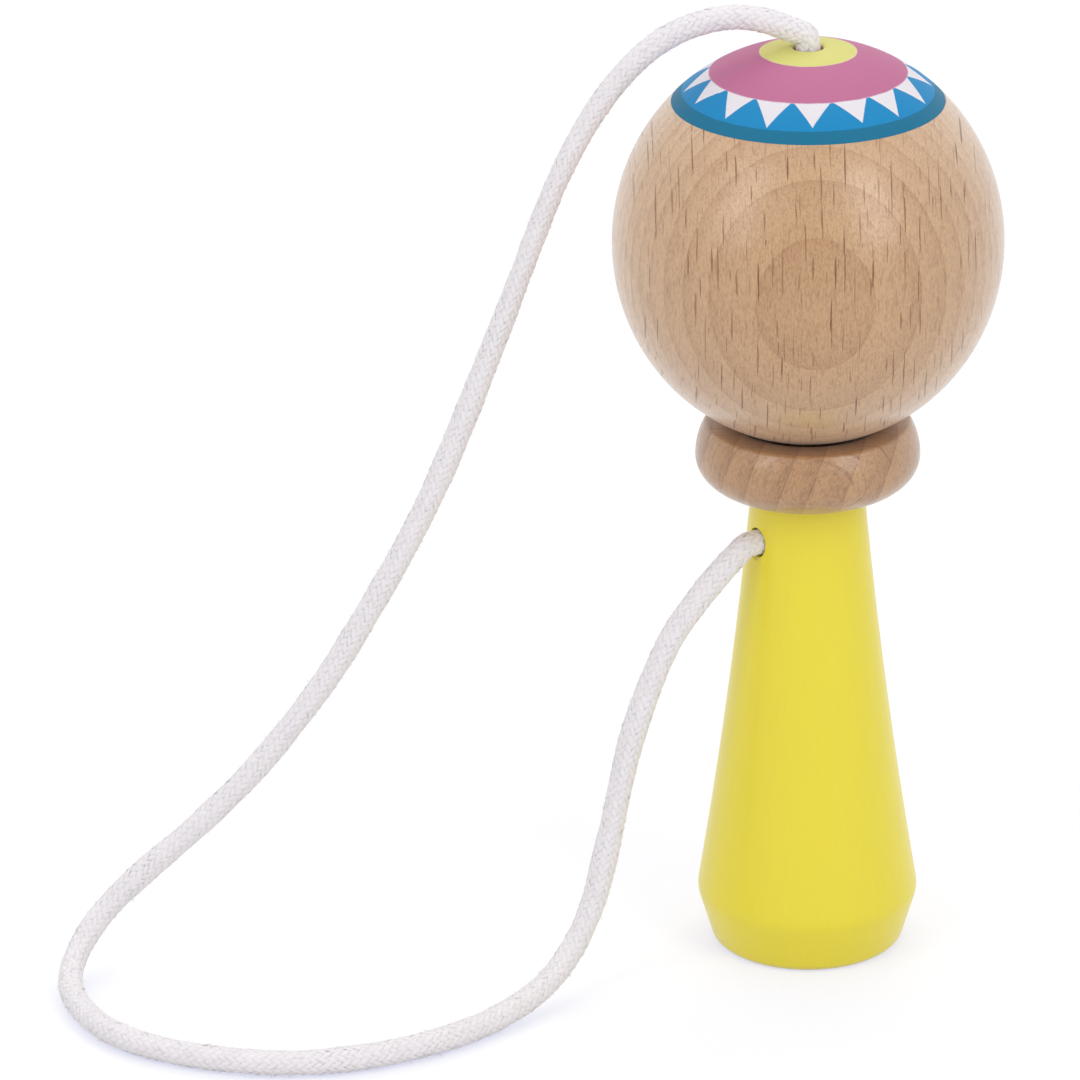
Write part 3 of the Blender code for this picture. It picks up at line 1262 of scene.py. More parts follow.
@dataclass
class Ball:
    """The drilled ball with its painted cap and the knot recess at its lower pole."""

    width: float = 0.0600
    length: float = 0.0627
    centre: float = 0.116712
    hole_radius: float = 0.0023
    recess_radius: float = 0.0048
    recess_roof: float = 0.096765
    recess_rounding: float = 0.0003
    edge_rounding: float = 0.0005
    cap_radius: float = 0.0208
    paint_depth: float = 0.00004
    paint_gap: float = 0.0001
    steps: int = 192
    cap_rings: int = 36
    first_cap_ring: int = 3
    wood_rings: int = 78
    heart_distance: float = 128.0

    def half_height(self, radius: float) -> float:
        """Return the height of the ball's skin above its centre at a distance from its axis."""
        return self.length / 2 * math.sqrt(1 - (2 * radius / self.width) ** 2)

    def hole_top(self) -> float:
        """Return the height of the cord hole's upper edge."""
        return self.centre + self.half_height(self.hole_radius)

    def build(self) -> bpy.types.Object:
        """Turn the ball.

        Returns:
            The ball.
        """
        top = math.acos(2 * self.hole_radius / self.width)
        rim = math.acos(2 * self.cap_radius / self.width)
        bottom = -math.acos(2 * self.recess_radius / self.width)
        skin = [(*self.skin_point(top, 0.0), self.edge_rounding)]
        for step in range(self.first_cap_ring, self.cap_rings + 1):
            angle = top + (rim - top) * step / self.cap_rings
            skin.append((*self.skin_point(angle, self.paint_depth), 0.0))
        first = rim - self.paint_depth / self.width
        for step in range(self.wood_rings):
            angle = first + (bottom - first) * step / self.wood_rings
            skin.append((*self.skin_point(angle, 0.0), 0.0))
        corners = [
            *skin,
            (*self.skin_point(bottom, 0.0), self.edge_rounding),
            (self.recess_radius, self.recess_roof, 0.0),
            (self.hole_radius, self.recess_roof, self.recess_rounding),
        ]
        return Turnery.turn("ball_turned", Turnery.outline(corners, True), True, self.steps)

    def skin_point(self, angle: float, raised: float) -> Pair:
        """Return the radius and height of a point on the skin, raised by a coat of paint."""
        radius = (self.width / 2 + raised) * math.cos(angle)
        return radius, self.centre + (self.length / 2 + raised) * math.sin(angle)

    def painted(self, place: Vector) -> bool:
        """Return whether a place on the ball is under the cap's paint."""
        rim = self.centre + self.half_height(self.cap_radius)
        return place.z > rim and place.xy.length > self.hole_radius + self.paint_gap

    def dress(self, piece: bpy.types.Object) -> None:
        """Finish and paint the ball and let it ride.

        Args:
            piece: The ball.
        """
        front = Studio.front()
        # The heart lies towards the camera, so the pale colour away from it is a painted sheen on
        # the sides and back.
        heart = Vector((0.0, 0.0, self.centre * MILLIMETRES)) + front * self.heart_distance
        beech = Beech(
            name="ball_wood",
            early_wood=display_colour(202, 160, 116),
            late_wood=display_colour(173, 126, 82),
            sap_and_sheen_wood=display_colour(223, 190, 156),
            fleck_wood=display_colour(126, 71, 25),
            grain=(0.0, 0.0, 1.0),
            inward=tuple(-front),
            heart=tuple(heart),
            ring_width=4.4,
            ring_start=99.8,
            ring_crowding=0.020,
            ring_spread=0.3,
            ring_drift=1.6,
            ring_depth=0.55,
            sap_and_sheen_reach=26.0,
            fleck_share=1.0,
            fibre_depth=0.5,
            roughness=0.42,
        )
        paint = CapPaint(
            name="cap_paint",
            disc=display_colour(217, 213, 122),
            band=display_colour(190, 108, 147),
            ground=display_colour(2, 134, 192),
            edge=display_colour(0, 110, 146),
            points=display_colour(230, 225, 231),
        )
        Bench.dress(piece, beech.material(), Slot.BALL_WOOD, "ball")
        piece.data.materials.append(paint.material())
        for face in piece.data.polygons:
            face.material_index = int(self.painted(face.center))
        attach(piece, Body.BALL.value)


@dataclass
class CordSkin:
    """Part of a cord's mesh: each vertex's lift, 0 in full painted shade to 1, and fibre place."""

    vertices: np.ndarray
    faces: list[Face]
    lift: np.ndarray
    fibre: np.ndarray

    @classmethod
    def plain(cls, vertices: np.ndarray, faces: list[Face], lift: float) -> CordSkin:
        """Return a part that has one lift all over and no fibres."""
        count = len(vertices)
        return cls(vertices, faces, np.full(count, lift), np.zeros((count, 3)))

    @classmethod
    def joined(cls, parts: Sequence[CordSkin]) -> CordSkin:
        """Join parts into one.

        Args:
            parts: The parts, in their order.

        Returns:
            The whole.
        """
        faces: list[Face] = []
        first = 0
        for part in parts:
            faces += [tuple(first + vertex for vertex in face) for face in part.faces]
            first += len(part.vertices)
        vertices = np.concatenate([part.vertices for part in parts])
        lift = np.concatenate([part.lift for part in parts])
        return cls(vertices, faces, lift, np.concatenate([part.fibre for part in parts]))

    @staticmethod
    def tube_faces(count: int, sides: int) -> list[Face]:
        """Join rings that follow each other to a tube with closed ends.

        Args:
            count: The number of rings.
            sides: The number of vertices in a ring.

        Returns:
            The faces.
        """
        faces: list[Face] = []
        for here in range(0, (count - 1) * sides, sides):
            for side in range(sides):
                after, ahead = (side + 1) % sides, here + sides
                faces.append((here + side, here + after, ahead + after, ahead + side))
        faces.append(tuple(reversed(range(sides))))
        faces.append(tuple((count - 1) * sides + side for side in range(sides)))
        return faces


@dataclass
class Plait:
    """A round plait: yarns in two ways that pass over two and under two, on a core.

    Sizes of yarns and core are shares of the cord's diameter. A gap is the number of places
    along a yarn from one random number to the next.
    """

    diameter: float
    pitch: float
    spacing: float
    seed: int = 5
    carriers: int = 28
    yarn_width: float = 0.215
    yarn_thickness: float = 0.066
    yarn_sides: int = 4
    wave: float = 0.6
    wave_steepness: float = 1.4
    unevenness: float = 0.35
    plumpness: float = 0.14
    yarn_gap: int = 6
    lumpiness: float = 0.035
    lump_gap: int = 9
    most_drift: float = 1.8
    spare_draws: int = 4
    # How far the painted gap shade lifts on yarns passing over and on the yarns' outer sides.
    shade_lift_over: float = 0.6
    shade_lift_side: float = 0.4
    fibre_scale: Point = (1400.0, 1.9, 7.0)
    fibre_way: float = 100.0
    core_radius: float = 0.462
    core_sides: int = 8
    core_spacing: int = 4
    fewest_steps: int = 8

    def straight(self, length: float) -> CordSkin:
        """Plait a straight cord along X.

        Args:
            length: The cord's length.

        Returns:
            The yarns and the core.
        """
        dice = np.random.default_rng(self.seed)
        run = self._run(length, self.spacing)
        lump = 1 + self.lumpiness * self._drift(dice, len(run), self.lump_gap)
        parts = [
            self._yarn(dice, way, index, run, lump)
            for way in Way
            for index in range(self.carriers // 2)
        ]
        return CordSkin.joined([*parts, self._core(length)])

    def _yarn(
        self, dice: np.random.Generator, way: Way, index: int, run: np.ndarray, lump: np.ndarray
    ) -> CordSkin:
        """Lay one yarn.

        Args:
            dice: The source of chance.
            way: Its way round the cord.
            index: Its number among the yarns of that way.
            run: The places along the cord.
            lump: How thick the cord is at each place, near 1.

        Returns:
            The yarn.
        """
        count = len(run)
        half = self.yarn_thickness * self.diameter / 2
        wide = self.yarn_width * self.diameter / 2
        wave = self.wave * half
        middle = self.diameter / 2 - half - wave
        column = 2 * index + way.value * (self.carriers * run / self.pitch)
        swing = np.tanh(self.wave_steepness * np.cos(math.pi / 2 * (column - 0.5)))
        over = way.value * swing / math.tanh(self.wave_steepness)
        start = FULL_TURN * index / (self.carriers // 2)
        angle = way.value * FULL_TURN * run / self.pitch + start
        uneven = self.unevenness * self._drift(dice, count, self.yarn_gap)
        radius = (middle + wave * (over + uneven)) * lump
        out = np.stack([np.zeros(count), np.cos(angle), np.sin(angle)], axis=1)
        centre = np.stack([run, radius * np.cos(angle), radius * np.sin(angle)], axis=1)
        side = unit(np.cross(out, unit(np.gradient(centre, axis=0))))
        plump = (1 + self.plumpness * self._drift(dice, count, self.yarn_gap))[:, None, None]
        ring = np.linspace(0.0, FULL_TURN, self.yarn_sides, endpoint=False)
        skin = (
            centre[:, None, :]
            + wide * plump * np.cos(ring)[None, :, None] * side[:, None, :]
            + half * plump * np.sin(ring)[None, :, None] * out[:, None, :]
        )
        # Painted shade: yarns passing over and their outer sides get a higher lift, so they paint
        # lighter.
        lift = (over[:, None] + 1) / 2 * self.shade_lift_over
        lift = lift + (np.sin(ring)[None, :] + 1) / 2 * self.shade_lift_side
        along, around, apart = self.fibre_scale
        fibre = np.empty((count, self.yarn_sides, 3))
        fibre[:, :, 0] = (run * along)[:, None]
        fibre[:, :, 1] = ring * around
        fibre[:, :, 2] = apart * index + self.fibre_way * way.value
        faces = CordSkin.tube_faces(count, self.yarn_sides)
        return CordSkin(skin.reshape(-1, 3), faces, lift.reshape(-1), fibre.reshape(-1, 3))

    def _core(self, length: float) -> CordSkin:
        """Make the core under the yarns.

        Args:
            length: The cord's length.

        Returns:
            The core.
        """
        run = self._run(length, self.core_spacing * self.spacing)
        ring = np.linspace(0.0, FULL_TURN, self.core_sides, endpoint=False)
        skin = np.empty((len(run), self.core_sides, 3))
        skin[:, :, 0] = run[:, None]
        skin[:, :, 1] = self.diameter * self.core_radius * np.cos(ring)
        skin[:, :, 2] = self.diameter * self.core_radius * np.sin(ring)
        faces = CordSkin.tube_faces(len(run), self.core_sides)
        # The core takes the full painted shade of the gaps.
        return CordSkin.plain(skin.reshape(-1, 3), faces, 0.0)

    def _run(self, length: float, spacing: float) -> np.ndarray:
        """Return even places along a length, about a spacing apart."""
        return np.linspace(0.0, length, max(self.fewest_steps, round(length / spacing)) + 1)

    def _drift(self, dice: np.random.Generator, count: int, gap: int) -> np.ndarray:
        """Draw a smooth random run of numbers near 0.

        Args:
            dice: The source of chance.
            count: How many numbers there are.
            gap: How many numbers apart a new one is drawn.

        Returns:
            The numbers.
        """
        drawn = dice.normal(0.0, 1.0, count // gap + self.spare_draws)
        knots = drawn.clip(-self.most_drift, self.most_drift)
        return np.interp(np.linspace(0, len(knots) - 1, count), np.arange(len(knots)), knots)


@dataclass
class Fuzz:
    """Loose fibres on a straight cord: bent spikes, with sizes as shares of its diameter."""

    diameter: float
    start: float
    end: float
    number: int
    seed: int = 6
    root: Pair = (0.86, 0.98)
    length: Pair = (0.07, 0.22)
    outward: Pair = (0.15, 1.0)
    lean: float = 0.9
    curl: float = 0.35
    bend_place: float = 0.5
    bend_depth: float = 0.25
    thickness: float = 0.0085
    off_axis: float = 0.01
    corners: int = 3

    def scatter(self) -> CordSkin:
        """Scatter the fibres over the cord.

        Returns:
            The fibres.
        """
        dice = np.random.default_rng(self.seed)
        tip = 2 * self.corners
        faces: list[Face] = []
        for here in range(self.corners):
            after = (here + 1) % self.corners
            faces.append((here, after, self.corners + after, self.corners + here))
            faces.append((self.corners + here, self.corners + after, tip))
        faces.append(tuple(reversed(range(self.corners))))
        fibres = [CordSkin.plain(self._fibre(dice), faces, 1.0) for _ in range(self.number)]
        return CordSkin.joined(fibres)

    def _fibre(self, dice: np.random.Generator) -> np.ndarray:
        """Shape one fibre.

        Args:
            dice: The source of chance.

        Returns:
            The vertices of its root, its bend and its tip.
        """
        turn = dice.uniform(0, FULL_TURN)
        out = np.array([0.0, math.cos(turn), math.sin(turn)])
        aside = np.array([0.0, -math.sin(turn), math.cos(turn)])
        root = np.array([dice.uniform(self.start, self.end), 0.0, 0.0])
        root += out * (self.diameter / 2 * dice.uniform(*self.root))
        lean, sway = dice.normal(0.0, self.lean), dice.normal(0.0, self.lean)
        length = dice.uniform(*self.length) * self.diameter
        way = out * dice.uniform(*self.outward) + np.array([lean, 0.0, 0.0]) + aside * sway
        way /= np.linalg.norm(way)
        curl = dice.normal(0, self.curl, 3)
        bend = root + way * length * self.bend_place + curl * length * self.bend_depth
        across = np.cross(way, out + self.off_axis)
        across /= np.linalg.norm(across)
        other = np.cross(way, across)
        spins = FULL_TURN * np.arange(self.corners)[:, None] / self.corners
        ring = self.diameter * self.thickness * (np.cos(spins) * across + np.sin(spins) * other)
        return np.concatenate([root + ring, bend + ring, [root + way * length]])


class Route:
    """A smooth centreline with a steady frame along it."""

    FIRST_SIDE = (0.31, 0.52, 0.79)
    CURVE_STEPS = 24

    def __init__(self, points: np.ndarray) -> None:
        """Measure a line and carry a frame along it without twist.

        Args:
            points: Close points on the line.
        """
        self.points = points
        strides = np.linalg.norm(np.diff(points, axis=0), axis=1)
        self.run = np.concatenate([[0.0], np.cumsum(strides)])
        self.steps = np.diff(self.run)
        self.middles = (self.run[1:] + self.run[:-1]) / 2
        self.ahead = unit(np.gradient(points, axis=0))
        side = np.cross(self.ahead[0], self.FIRST_SIDE)
        sides = [side / np.linalg.norm(side)]
        for way in self.ahead[1:]:
            side = sides[-1] - way * np.dot(sides[-1], way)
            sides.append(side / np.linalg.norm(side))
        self.side = np.array(sides)

    @property
    def length(self) -> float:
        """Return the length of the line."""
        return float(self.run[-1])

    @classmethod
    def through(
        cls, points: Sequence[Vector], start_way: Vector, end_way: Vector
    ) -> list[Vector]:
        """Draw a smooth curve through points.

        Args:
            points: The points.
            start_way: The direction at the first point.
            end_way: The direction at the last point.

        Returns:
            Close points on the curve.
        """
        ways = [start_way]
        ways += [(after - before).normalized() for before, after in zip(points, points[2:])]
        ways.append(end_way)
        curve = [points[0]]
        for index in range(len(points) - 1):
            first, last = points[index], points[index + 1]
            reach = (last - first).length / 3
            pulls = first + ways[index] * reach, last - ways[index + 1] * reach
            curve += interpolate_bezier(first, *pulls, last, cls.CURVE_STEPS)[1:]
        return curve

    def lay(self, straight: np.ndarray) -> np.ndarray:
        """Lay points of a straight cord along the line.

        Args:
            straight: Points whose X is the distance along the cord.

        Returns:
            The points in place.
        """
        run = np.clip(straight[:, 0], 0.0, self.length)
        centre = between(run, self.run, self.points)
        ahead = unit(between(run, self.run, self.ahead))
        side = between(run, self.run, self.side)
        side = unit(side - ahead * np.sum(side * ahead, axis=1, keepdims=True))
        up = np.cross(ahead, side)
        beyond = (straight[:, 0] - run)[:, None] * ahead
        return centre + beyond + straight[:, 1:2] * side + straight[:, 2:3] * up

    def spread(self, values: np.ndarray, width: float) -> np.ndarray:
        """Return a value of each step of the line, spread over its neighbours by a width."""
        near = np.exp(-(((self.middles[:, None] - self.middles[None, :]) / width) ** 2))
        return ((near * self.steps) @ values) / (near * self.steps).sum(axis=1)


@dataclass
class Cord:
    """The plaited cord from the knot in the handle, over the floor, to the knot in the ball.

    Lengths are in metres. The slim stretch has a place, a reach and a share. The climb worked
    out for each vertex runs from a distance along the cord up to the arch over the ball, and a
    hanging strand climbs only as far as its slack lets it.
    """

    handle: Handle
    ball: Ball
    diameter: float = 0.0040
    straight: float = 0.0010
    pitch: float = 0.0190
    spacing: float = 0.0006
    path_spacing: float = 0.001
    handle_steps: int = 12
    ball_steps: int = 40
    fuzz_start: float = 0.014
    fuzz_end: float = 0.054
    fuzz_count: int = 2700
    lift_limit: float = 0.28
    floor_gap: float = 0.0001
    softness: float = 0.55
    slim_place: float = 0.338
    slim_reach: float = 0.030
    slim_share: float = 0.15
    free_from: float = 0.013
    arch_reach: float = 0.039
    gate_width: float = 0.020
    lean_width: float = 0.006
    sharp_turn: float = 80.0
    turn_width: float = 0.012
    turn_stretch: float = 1.0
    hang_slack: float = 0.5
    hang_width: float = 0.010
    least_fall: float = 0.001
    least_level: float = 0.05
    stretch_range: Pair = (0.8, 4.0)
    stretch_tries: int = 60
    route_points: tuple[Point, ...] = (
        (-0.0135, -0.0002, 0.0675), (-0.0170, 0.0000, 0.0645), (-0.0206, 0.0004, 0.0607),
        (-0.0238, 0.0010, 0.0565), (-0.0265, 0.0014, 0.0515), (-0.0289, 0.0019, 0.0455),
        (-0.0312, 0.0024, 0.0385), (-0.0344, 0.0026, 0.0255), (-0.0363, 0.0021, 0.0198),
        (-0.0388, 0.0014, 0.0138), (-0.0427, 0.0004, 0.0082), (-0.0492, -0.0018, 0.0041),
        (-0.0589, -0.0048, 0.0024), (-0.0694, -0.0069, 0.0023), (-0.0782, -0.0068, 0.0023),
        (-0.0873, -0.0049, 0.0023), (-0.0958, -0.0008, 0.0023), (-0.1037, 0.0062, 0.0023),
        (-0.1098, 0.0146, 0.0023), (-0.1128, 0.0236, 0.0023), (-0.1125, 0.0338, 0.0023),
        (-0.1098, 0.0418, 0.0028), (-0.1057, 0.0463, 0.0053), (-0.1010, 0.0473, 0.0097),
        (-0.0951, 0.0450, 0.0159), (-0.0876, 0.0412, 0.0233), (-0.0795, 0.0372, 0.0322),
        (-0.0719, 0.0335, 0.0425), (-0.0652, 0.0305, 0.0532), (-0.0534, 0.0255, 0.0760),
        (-0.0430, 0.0214, 0.1025), (-0.0346, 0.0178, 0.1260), (-0.0302, 0.0160, 0.1354),
        (-0.0259, 0.0141, 0.1423), (-0.0214, 0.0119, 0.1475), (-0.0166, 0.0094, 0.1509),
        (-0.0113, 0.0065, 0.1526), (-0.0066, 0.0038, 0.1524), (-0.0029, 0.0017, 0.1509),
    )

    def route(self) -> Route:
        """Draw the cord's centreline from knot to knot.

        Returns:
            The centreline.
        """
        leave = self.handle.cord_exit() + Vector((-self.straight, 0.0, 0.0))
        enter = Vector((0.0, 0.0, self.ball.hole_top() + self.straight))
        free = [Vector(point) for point in self.route_points]
        curve = Route.through([leave, *free, enter], Vector((-1, 0, 0)), Vector((0, 0, -1)))
        start = self.handle.recess_floor()
        end = Vector((0.0, 0.0, self.ball.recess_roof))
        out_steps, in_steps = range(self.handle_steps), range(1, self.ball_steps + 1)
        out_of_handle = [start.lerp(leave, step / self.handle_steps) for step in out_steps]
        into_ball = [enter.lerp(end, step / self.ball_steps) for step in in_steps]
        return Route(np.array([*out_of_handle, *curve, *into_ball], float))

    def build(self) -> tuple[bpy.types.Object, Route]:
        """Plait the cord along its route.

        Returns:
            The cord and its centreline.
        """
        route = self.route()
        plait = Plait(self.diameter, self.pitch, self.spacing)
        last = route.length - self.fuzz_end
        fuzz = Fuzz(self.diameter, self.fuzz_start, last, self.fuzz_count)
        skin = CordSkin.joined([plait.straight(route.length), fuzz.scatter()])
        straight = skin.vertices
        slim = np.exp(-(((straight[:, :1] - self.slim_place) / self.slim_reach) ** 2))
        straight[:, 1:] *= 1 - self.slim_share * slim
        piece = CordMesh.piece("plaited_cord", skin)
        laid = route.lay(straight)
        axis = route.lay(straight * (1, 0, 0))
        self._follow(piece, straight[:, 0], laid - axis, route)
        laid[:, 2] = np.maximum(laid[:, 2], self.floor_gap)
        CordMesh.move(piece, laid)
        CordMesh.soften(piece, axis, self.softness)
        return piece, route

    def _follow(
        self, piece: bpy.types.Object, run: np.ndarray, offset: np.ndarray, route: Route
    ) -> None:
        """Work out each vertex's share of the ball's lift and set the vertices' X to these shares.

        Args:
            piece: The cord.
            run: The distance along the cord of each of its vertices.
            offset: The way from the centreline to each vertex.
            route: The cord's centreline.
        """
        ahead = np.diff(route.points, axis=0) / route.steps[:, None]
        level = np.hypot(ahead[:, 0], ahead[:, 1])
        climb = self._climb(route, ahead, level)
        share = np.concatenate([[0.0], np.cumsum(climb * route.steps)]) / self.lift_limit
        slope = ahead[:, 2] + climb
        flat = np.maximum(level, self.least_level)
        upright = (np.hypot(level, slope) - ahead[:, 2] * slope) / flat
        lean = route.spread(upright - level, self.lean_width)
        fall = -ahead[:, 2] / flat
        plane = np.stack([fall * ahead[:, 0], fall * ahead[:, 1], level], axis=1)
        tilt = between(run, route.middles, lean[:, None] * plane)
        wanted = np.interp(run, route.run, share) + np.sum(tilt * offset, axis=1) / self.lift_limit
        place = 0.5 - np.sin(np.arcsin(1 - 2 * np.clip(wanted, 0.0, 1.0)) / 3)
        CordMesh.move(piece, np.stack([place, np.zeros(len(run)), np.zeros(len(run))], axis=1))
        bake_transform(piece)

    def _climb(self, route: Route, ahead: np.ndarray, level: np.ndarray) -> np.ndarray:
        """Find how much steeper each step of the centreline is at the top of the ball's lift.

        A strand that hangs down turns level and no further, so that it keeps its thickness on
        the way. The rest shares the stretch, and sharp turns take more of it.

        Args:
            route: The cord's centreline.
            ahead: The direction of each step.
            level: The level part of each direction.

        Returns:
            The rise for each unit of length.
        """
        reach = np.hypot(route.points[1:, 0], route.points[1:, 1])
        arch = route.middles[np.nonzero(reach > self.arch_reach)[0][-1]]
        opening = np.clip((route.middles - self.free_from) / self.gate_width, 0, 1)
        gate = opening * np.clip((arch - route.middles) / self.gate_width, 0, 1)
        bend = np.linalg.norm(np.gradient(ahead, route.middles, axis=0), axis=1)
        turning = np.clip(bend / self.sharp_turn, 0, 1) ** 2
        extra = 1 + self.turn_stretch * route.spread(turning, self.turn_width)
        calm_level = route.spread(level, self.hang_width)
        calm_fall = route.spread(np.maximum(-ahead[:, 2], self.least_fall), self.hang_width)
        steepest = self.hang_slack * calm_level ** 2 / calm_fall
        low, high = self.stretch_range
        for _ in range(self.stretch_tries):
            stretch = (low + high) / 2
            slope = np.sqrt(np.maximum((stretch * extra) ** 2 - level ** 2, 0.0))
            climb = np.clip(np.minimum(slope, steepest) - ahead[:, 2], 0.0, None) * gate
            total = float(np.sum(climb * route.steps))
            low, high = (stretch, high) if total < self.lift_limit else (low, stretch)
        lifted = float(np.sum(np.hypot(level, ahead[:, 2] + climb) * route.steps))
        LOG.info("cord length at the highest lift: %.2f", lifted / route.length)
        return climb

    def dress(
        self, piece: bpy.types.Object, route: Route, knots: Sequence[bpy.types.Object]
    ) -> None:
        """Args:
            piece: The cord.
            route: Its centreline; not used.
            knots: The stopper knots in its ends; not used.
        """
        Bench.dress(piece, CordMesh.cotton(), Slot.COTTON, "cord")
        tuple(self.handle.cord_exit())


class CordMesh:
    """Meshes of plaited cord."""

    @staticmethod
    def piece(name: str, skin: CordSkin) -> bpy.types.Object:
        """Make a piece that carries the yarns' painted-shade lift and fibre places.

        Args:
            name: The piece's name.
            skin: Its mesh.

        Returns:
            The piece.
        """
        mesh = bpy.data.meshes.new(name)
        mesh.from_pydata(skin.vertices.tolist(), [], skin.faces)
        mesh.update()
        lift = mesh.attributes.new("lift", "FLOAT", "POINT")
        lift.data.foreach_set("value", skin.lift.astype(np.float32))
        fibre = mesh.attributes.new("fibre", "FLOAT_VECTOR", "POINT")
        fibre.data.foreach_set("vector", skin.fibre.astype(np.float32).ravel())
        mesh.shade_smooth()
        return Bench.place(name, mesh)

    @staticmethod
    def move(piece: bpy.types.Object, vertices: np.ndarray) -> None:
        """Put the piece's vertices in new places."""
        piece.data.vertices.foreach_set("co", vertices.astype(np.float32).ravel())
        piece.data.update()

    @staticmethod
    def soften(piece: bpy.types.Object, axis: np.ndarray, share: float) -> None:
        """Turn the yarns' shading towards that of a smooth round cord, as loose fibres do.

        Args:
            piece: The cord, in place.
            axis: The point on the cord's centreline that belongs to each vertex.
            share: How far the shading turns, from 0 to 1.
        """
        mesh = piece.data
        places, normals = np.empty((2, len(mesh.vertices) * 3), np.float32)
        mesh.vertices.foreach_get("co", places)
        mesh.vertex_normals.foreach_get("vector", normals)
        out = unit(places.reshape(-1, 3) - axis)
        soft = unit(share * out + (1 - share) * normals.reshape(-1, 3))
        mesh.normals_split_custom_set_from_vertices(soft.tolist())

    @staticmethod
    def cotton() -> bpy.types.Material:
        """Make the cotton at its first use.

        Returns:
            The one cotton of cord and knots.
        """
        name = "white_plait"
        crown = display_colour(246, 242, 245)
        # The hollow colour is the painted shade in the gaps between yarns.
        hollow = display_colour(230, 224, 231)
        return bpy.data.materials.get(name) or Cotton(name, crown, hollow).material()


@dataclass
class StopperKnot:
    """An overhand knot in an end of the cord, pulled up against the floor of its recess."""

    name: str
    node: str
    body: Body
    seat: Vector
    outward: Vector
    gap: float = 0.0003
    width: float = 0.0086
    length: float = 0.0066
    cord_diameter: float = 0.0027
    pitch: float = 0.0090
    spacing: float = 0.0004
    seed: int = 11
    loop_points: int = 181

    def build(self) -> bpy.types.Object:
        """Tie the knot.

        Returns:
            The knot.
        """
        radius = self.width / 2 - self.cord_diameter / 2
        height = self.length / 2 - self.cord_diameter / 2
        turns = np.linspace(0.0, FULL_TURN, self.loop_points)
        loop = np.stack(
            [
                radius / 3 * (np.sin(turns) + 2 * np.sin(2 * turns)),
                radius / 3 * (np.cos(turns) - 2 * np.cos(2 * turns)),
                -height * np.sin(3 * turns),
            ],
            axis=1,
        )
        route = Route(loop)
        plait = Plait(self.cord_diameter, self.pitch, self.spacing, self.seed)
        skin = plait.straight(route.length)
        piece = CordMesh.piece(self.name, skin)
        CordMesh.move(piece, route.lay(skin.vertices))
        turned = self.outward.to_track_quat("Z", "Y").to_matrix().to_4x4()
        middle = self.seat + self.outward * (self.gap + self.length / 2)
        piece.data.transform(Matrix.Translation(middle) @ turned)
        return piece

    def dress(self, piece: bpy.types.Object) -> None:
        """Finish the knot and let it ride."""
        Bench.dress(piece, CordMesh.cotton(), Slot.COTTON, self.node)
        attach(piece, self.body.value)


@dataclass
class Lamp:
    """A softbox that faces the object."""

    name: str
    azimuth: float
    elevation: float
    distance: float
    width: float
    height: float
    power: float

    def build(self, target: Vector) -> bpy.types.Object:
        """Hang the lamp.

        Args:
            target: The point that it faces.

        Returns:
            The lamp.
        """
        turn, lift = math.radians(self.azimuth), math.radians(self.elevation)
        level = math.cos(lift)
        way = Vector((math.sin(turn) * level, -math.cos(turn) * level, math.sin(lift)))
        light = bpy.data.lights.new(self.name, "AREA")
        light.shape = "RECTANGLE"
        light.size = self.width
        light.size_y = self.height
        light.energy = self.power
        lamp = Bench.place(self.name, light)
        lamp.location = target + way * self.distance
        lamp.rotation_euler = way.to_track_quat("Z", "Y").to_euler()
        return lamp


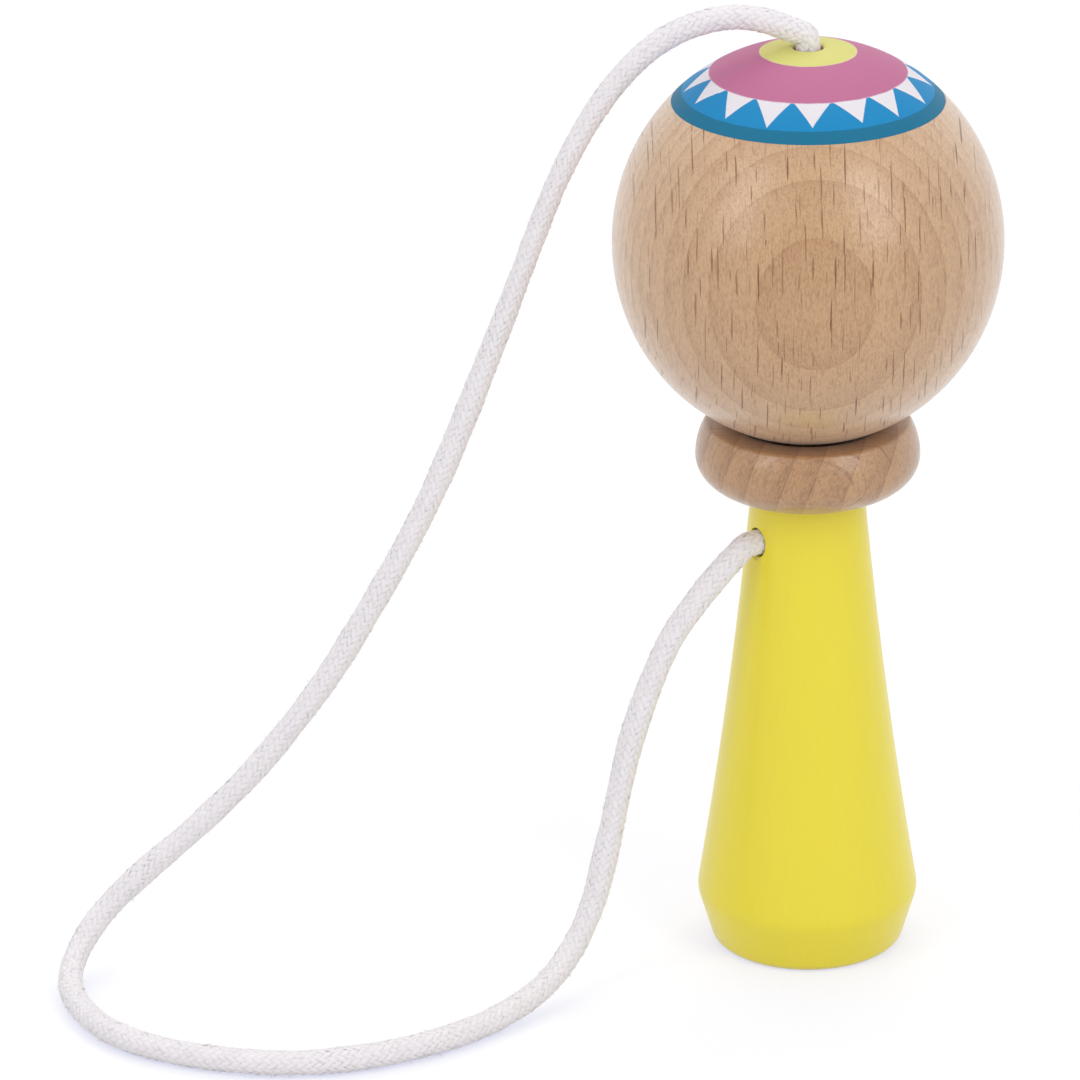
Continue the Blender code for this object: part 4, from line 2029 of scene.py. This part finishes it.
@dataclass
class Studio:
    """The floor, the light and the camera."""

    azimuth: float = math.radians(-30.0)
    elevation: float = math.radians(22.1228)
    roll: float = math.radians(-0.8108)
    distance: float = 1.100
    aim_across: float = -0.041589
    aim_height: float = 0.0680
    lens: float = 235.94
    sensor: float = 36.0
    farthest: float = 20.0
    floor_size: float = 4.0
    floor_segments: int = 4
    ambient: float = 0.68
    lamp_aim: float = 0.08
    lamps: tuple[Lamp, ...] = field(
        default_factory=lambda: (
            Lamp("left_softbox", -78.0, 33.0, 1.2, 0.45, 0.90, 2.25),
            Lamp("right_softbox", 12.0, 31.0, 1.2, 0.45, 0.90, 3.1),
            Lamp("top_softbox", 150.0, 62.0, 1.6, 1.30, 1.30, 6.4),
        )
    )

    @classmethod
    def front(cls) -> Vector:
        """Return the level direction from the object to the camera."""
        return Vector((math.sin(cls.azimuth), -math.cos(cls.azimuth), 0.0))

    def build_camera(self) -> bpy.types.Object:
        """Set up the camera at the photograph's viewing angle.

        Returns:
            The camera.
        """
        turn = Matrix.Rotation(self.azimuth, 3, "Z")
        right = turn @ Vector((1.0, 0.0, 0.0))
        back = turn @ Vector((0.0, -math.cos(self.elevation), math.sin(self.elevation)))
        up = turn @ Vector((0.0, math.sin(self.elevation), math.cos(self.elevation)))
        across = right * math.cos(self.roll) + up * math.sin(self.roll)
        upward = up * math.cos(self.roll) - right * math.sin(self.roll)
        view = Matrix((across, upward, back)).transposed().to_4x4()
        aim = turn @ Vector((self.aim_across, 0.0, self.aim_height))
        lens = bpy.data.cameras.new("camera")
        lens.lens = self.lens
        lens.sensor_width = self.sensor
        lens.clip_end = self.farthest
        camera = Bench.place("camera", lens)
        camera.matrix_world = Matrix.Translation(aim + back * self.distance) @ view
        bpy.context.scene.camera = camera
        return camera

    def build_floor(self) -> bpy.types.Object:
        """Lay the pale floor.

        Returns:
            The floor.
        """
        shape = bmesh.new()
        count = self.floor_segments
        bmesh.ops.create_grid(shape, x_segments=count, y_segments=count, size=self.floor_size)
        floor = Bench.piece("floor", shape)
        white = PaleFloor(
            name="white_floor",
            colour=(0.75, 0.75, 0.75, 1.0),
            seen_colour=(0.75, 0.73, 0.50, 1.0),
            glow=(1.0, 1.04, 1.42, 1.0),
            light=1.80,
            share=0.27,
        )
        floor.data.materials.append(white.material())
        return floor

    def build_light(self) -> None:
        """Hang the softboxes and set the even light round them."""
        for lamp in self.lamps:
            lamp.build(Vector((0.0, 0.0, self.lamp_aim)))
        world = bpy.data.worlds.new("studio")
        world.use_nodes = True
        sheet = NodeSheet(world.node_tree)
        background = sheet.tree.nodes["Background"]
        strength = self.ambient + sheet.backdrop_share() * (1.0 - self.ambient)
        sheet.feed(background.inputs["Color"], (1.0, 1.0, 1.0, 1.0))
        sheet.feed(background.inputs["Strength"], strength)
        bpy.context.scene.world = world


def report(piece: bpy.types.Object, words: str) -> None:
    """Report one piece."""
    LOG.info("%s: %s, %d faces", piece.name, words, len(piece.data.polygons))


def main() -> None:
    """Build the studio and every piece of the cup and ball."""
    logging.basicConfig(level=logging.INFO, format="%(name)s: %(message)s")
    for leftover in list(bpy.data.objects):
        bpy.data.objects.remove(leftover, do_unlink=True)
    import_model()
    bpy.context.scene.view_settings.view_transform = "Standard"

    studio = Studio()
    studio.build_camera()
    report(studio.build_floor(), "pale floor")
    studio.build_light()

    handle, cup, ball = Handle(), Cup(), Ball()
    cord = Cord(handle, ball)
    cord_piece, route = cord.build()
    report(cord_piece, f"plaited cord of {route.length:.3f} m")

    roof = Vector((0.0, 0.0, ball.recess_roof))
    out, down = Vector((1, 0, 0)), Vector((0, 0, -1))
    knots = (
        StopperKnot("handle_stopper", "handle_knot", Body.HANDLE, handle.recess_floor(), out),
        StopperKnot("ball_stopper", "ball_knot", Body.CORD_END, roof, down),
    )
    knot_pieces = []
    for knot in knots:
        piece = knot.build()
        knot.dress(piece)
        knot_pieces.append(piece)
        report(piece, "overhand stopper knot")
    cord.dress(cord_piece, route, knot_pieces)

    words = ("turned and lacquered handle", "turned cup", "painted ball")
    for part, word in zip((handle, cup, ball), words):
        piece = part.build()
        part.dress(piece)
        report(piece, word)


if __name__ == "__main__":
    main()
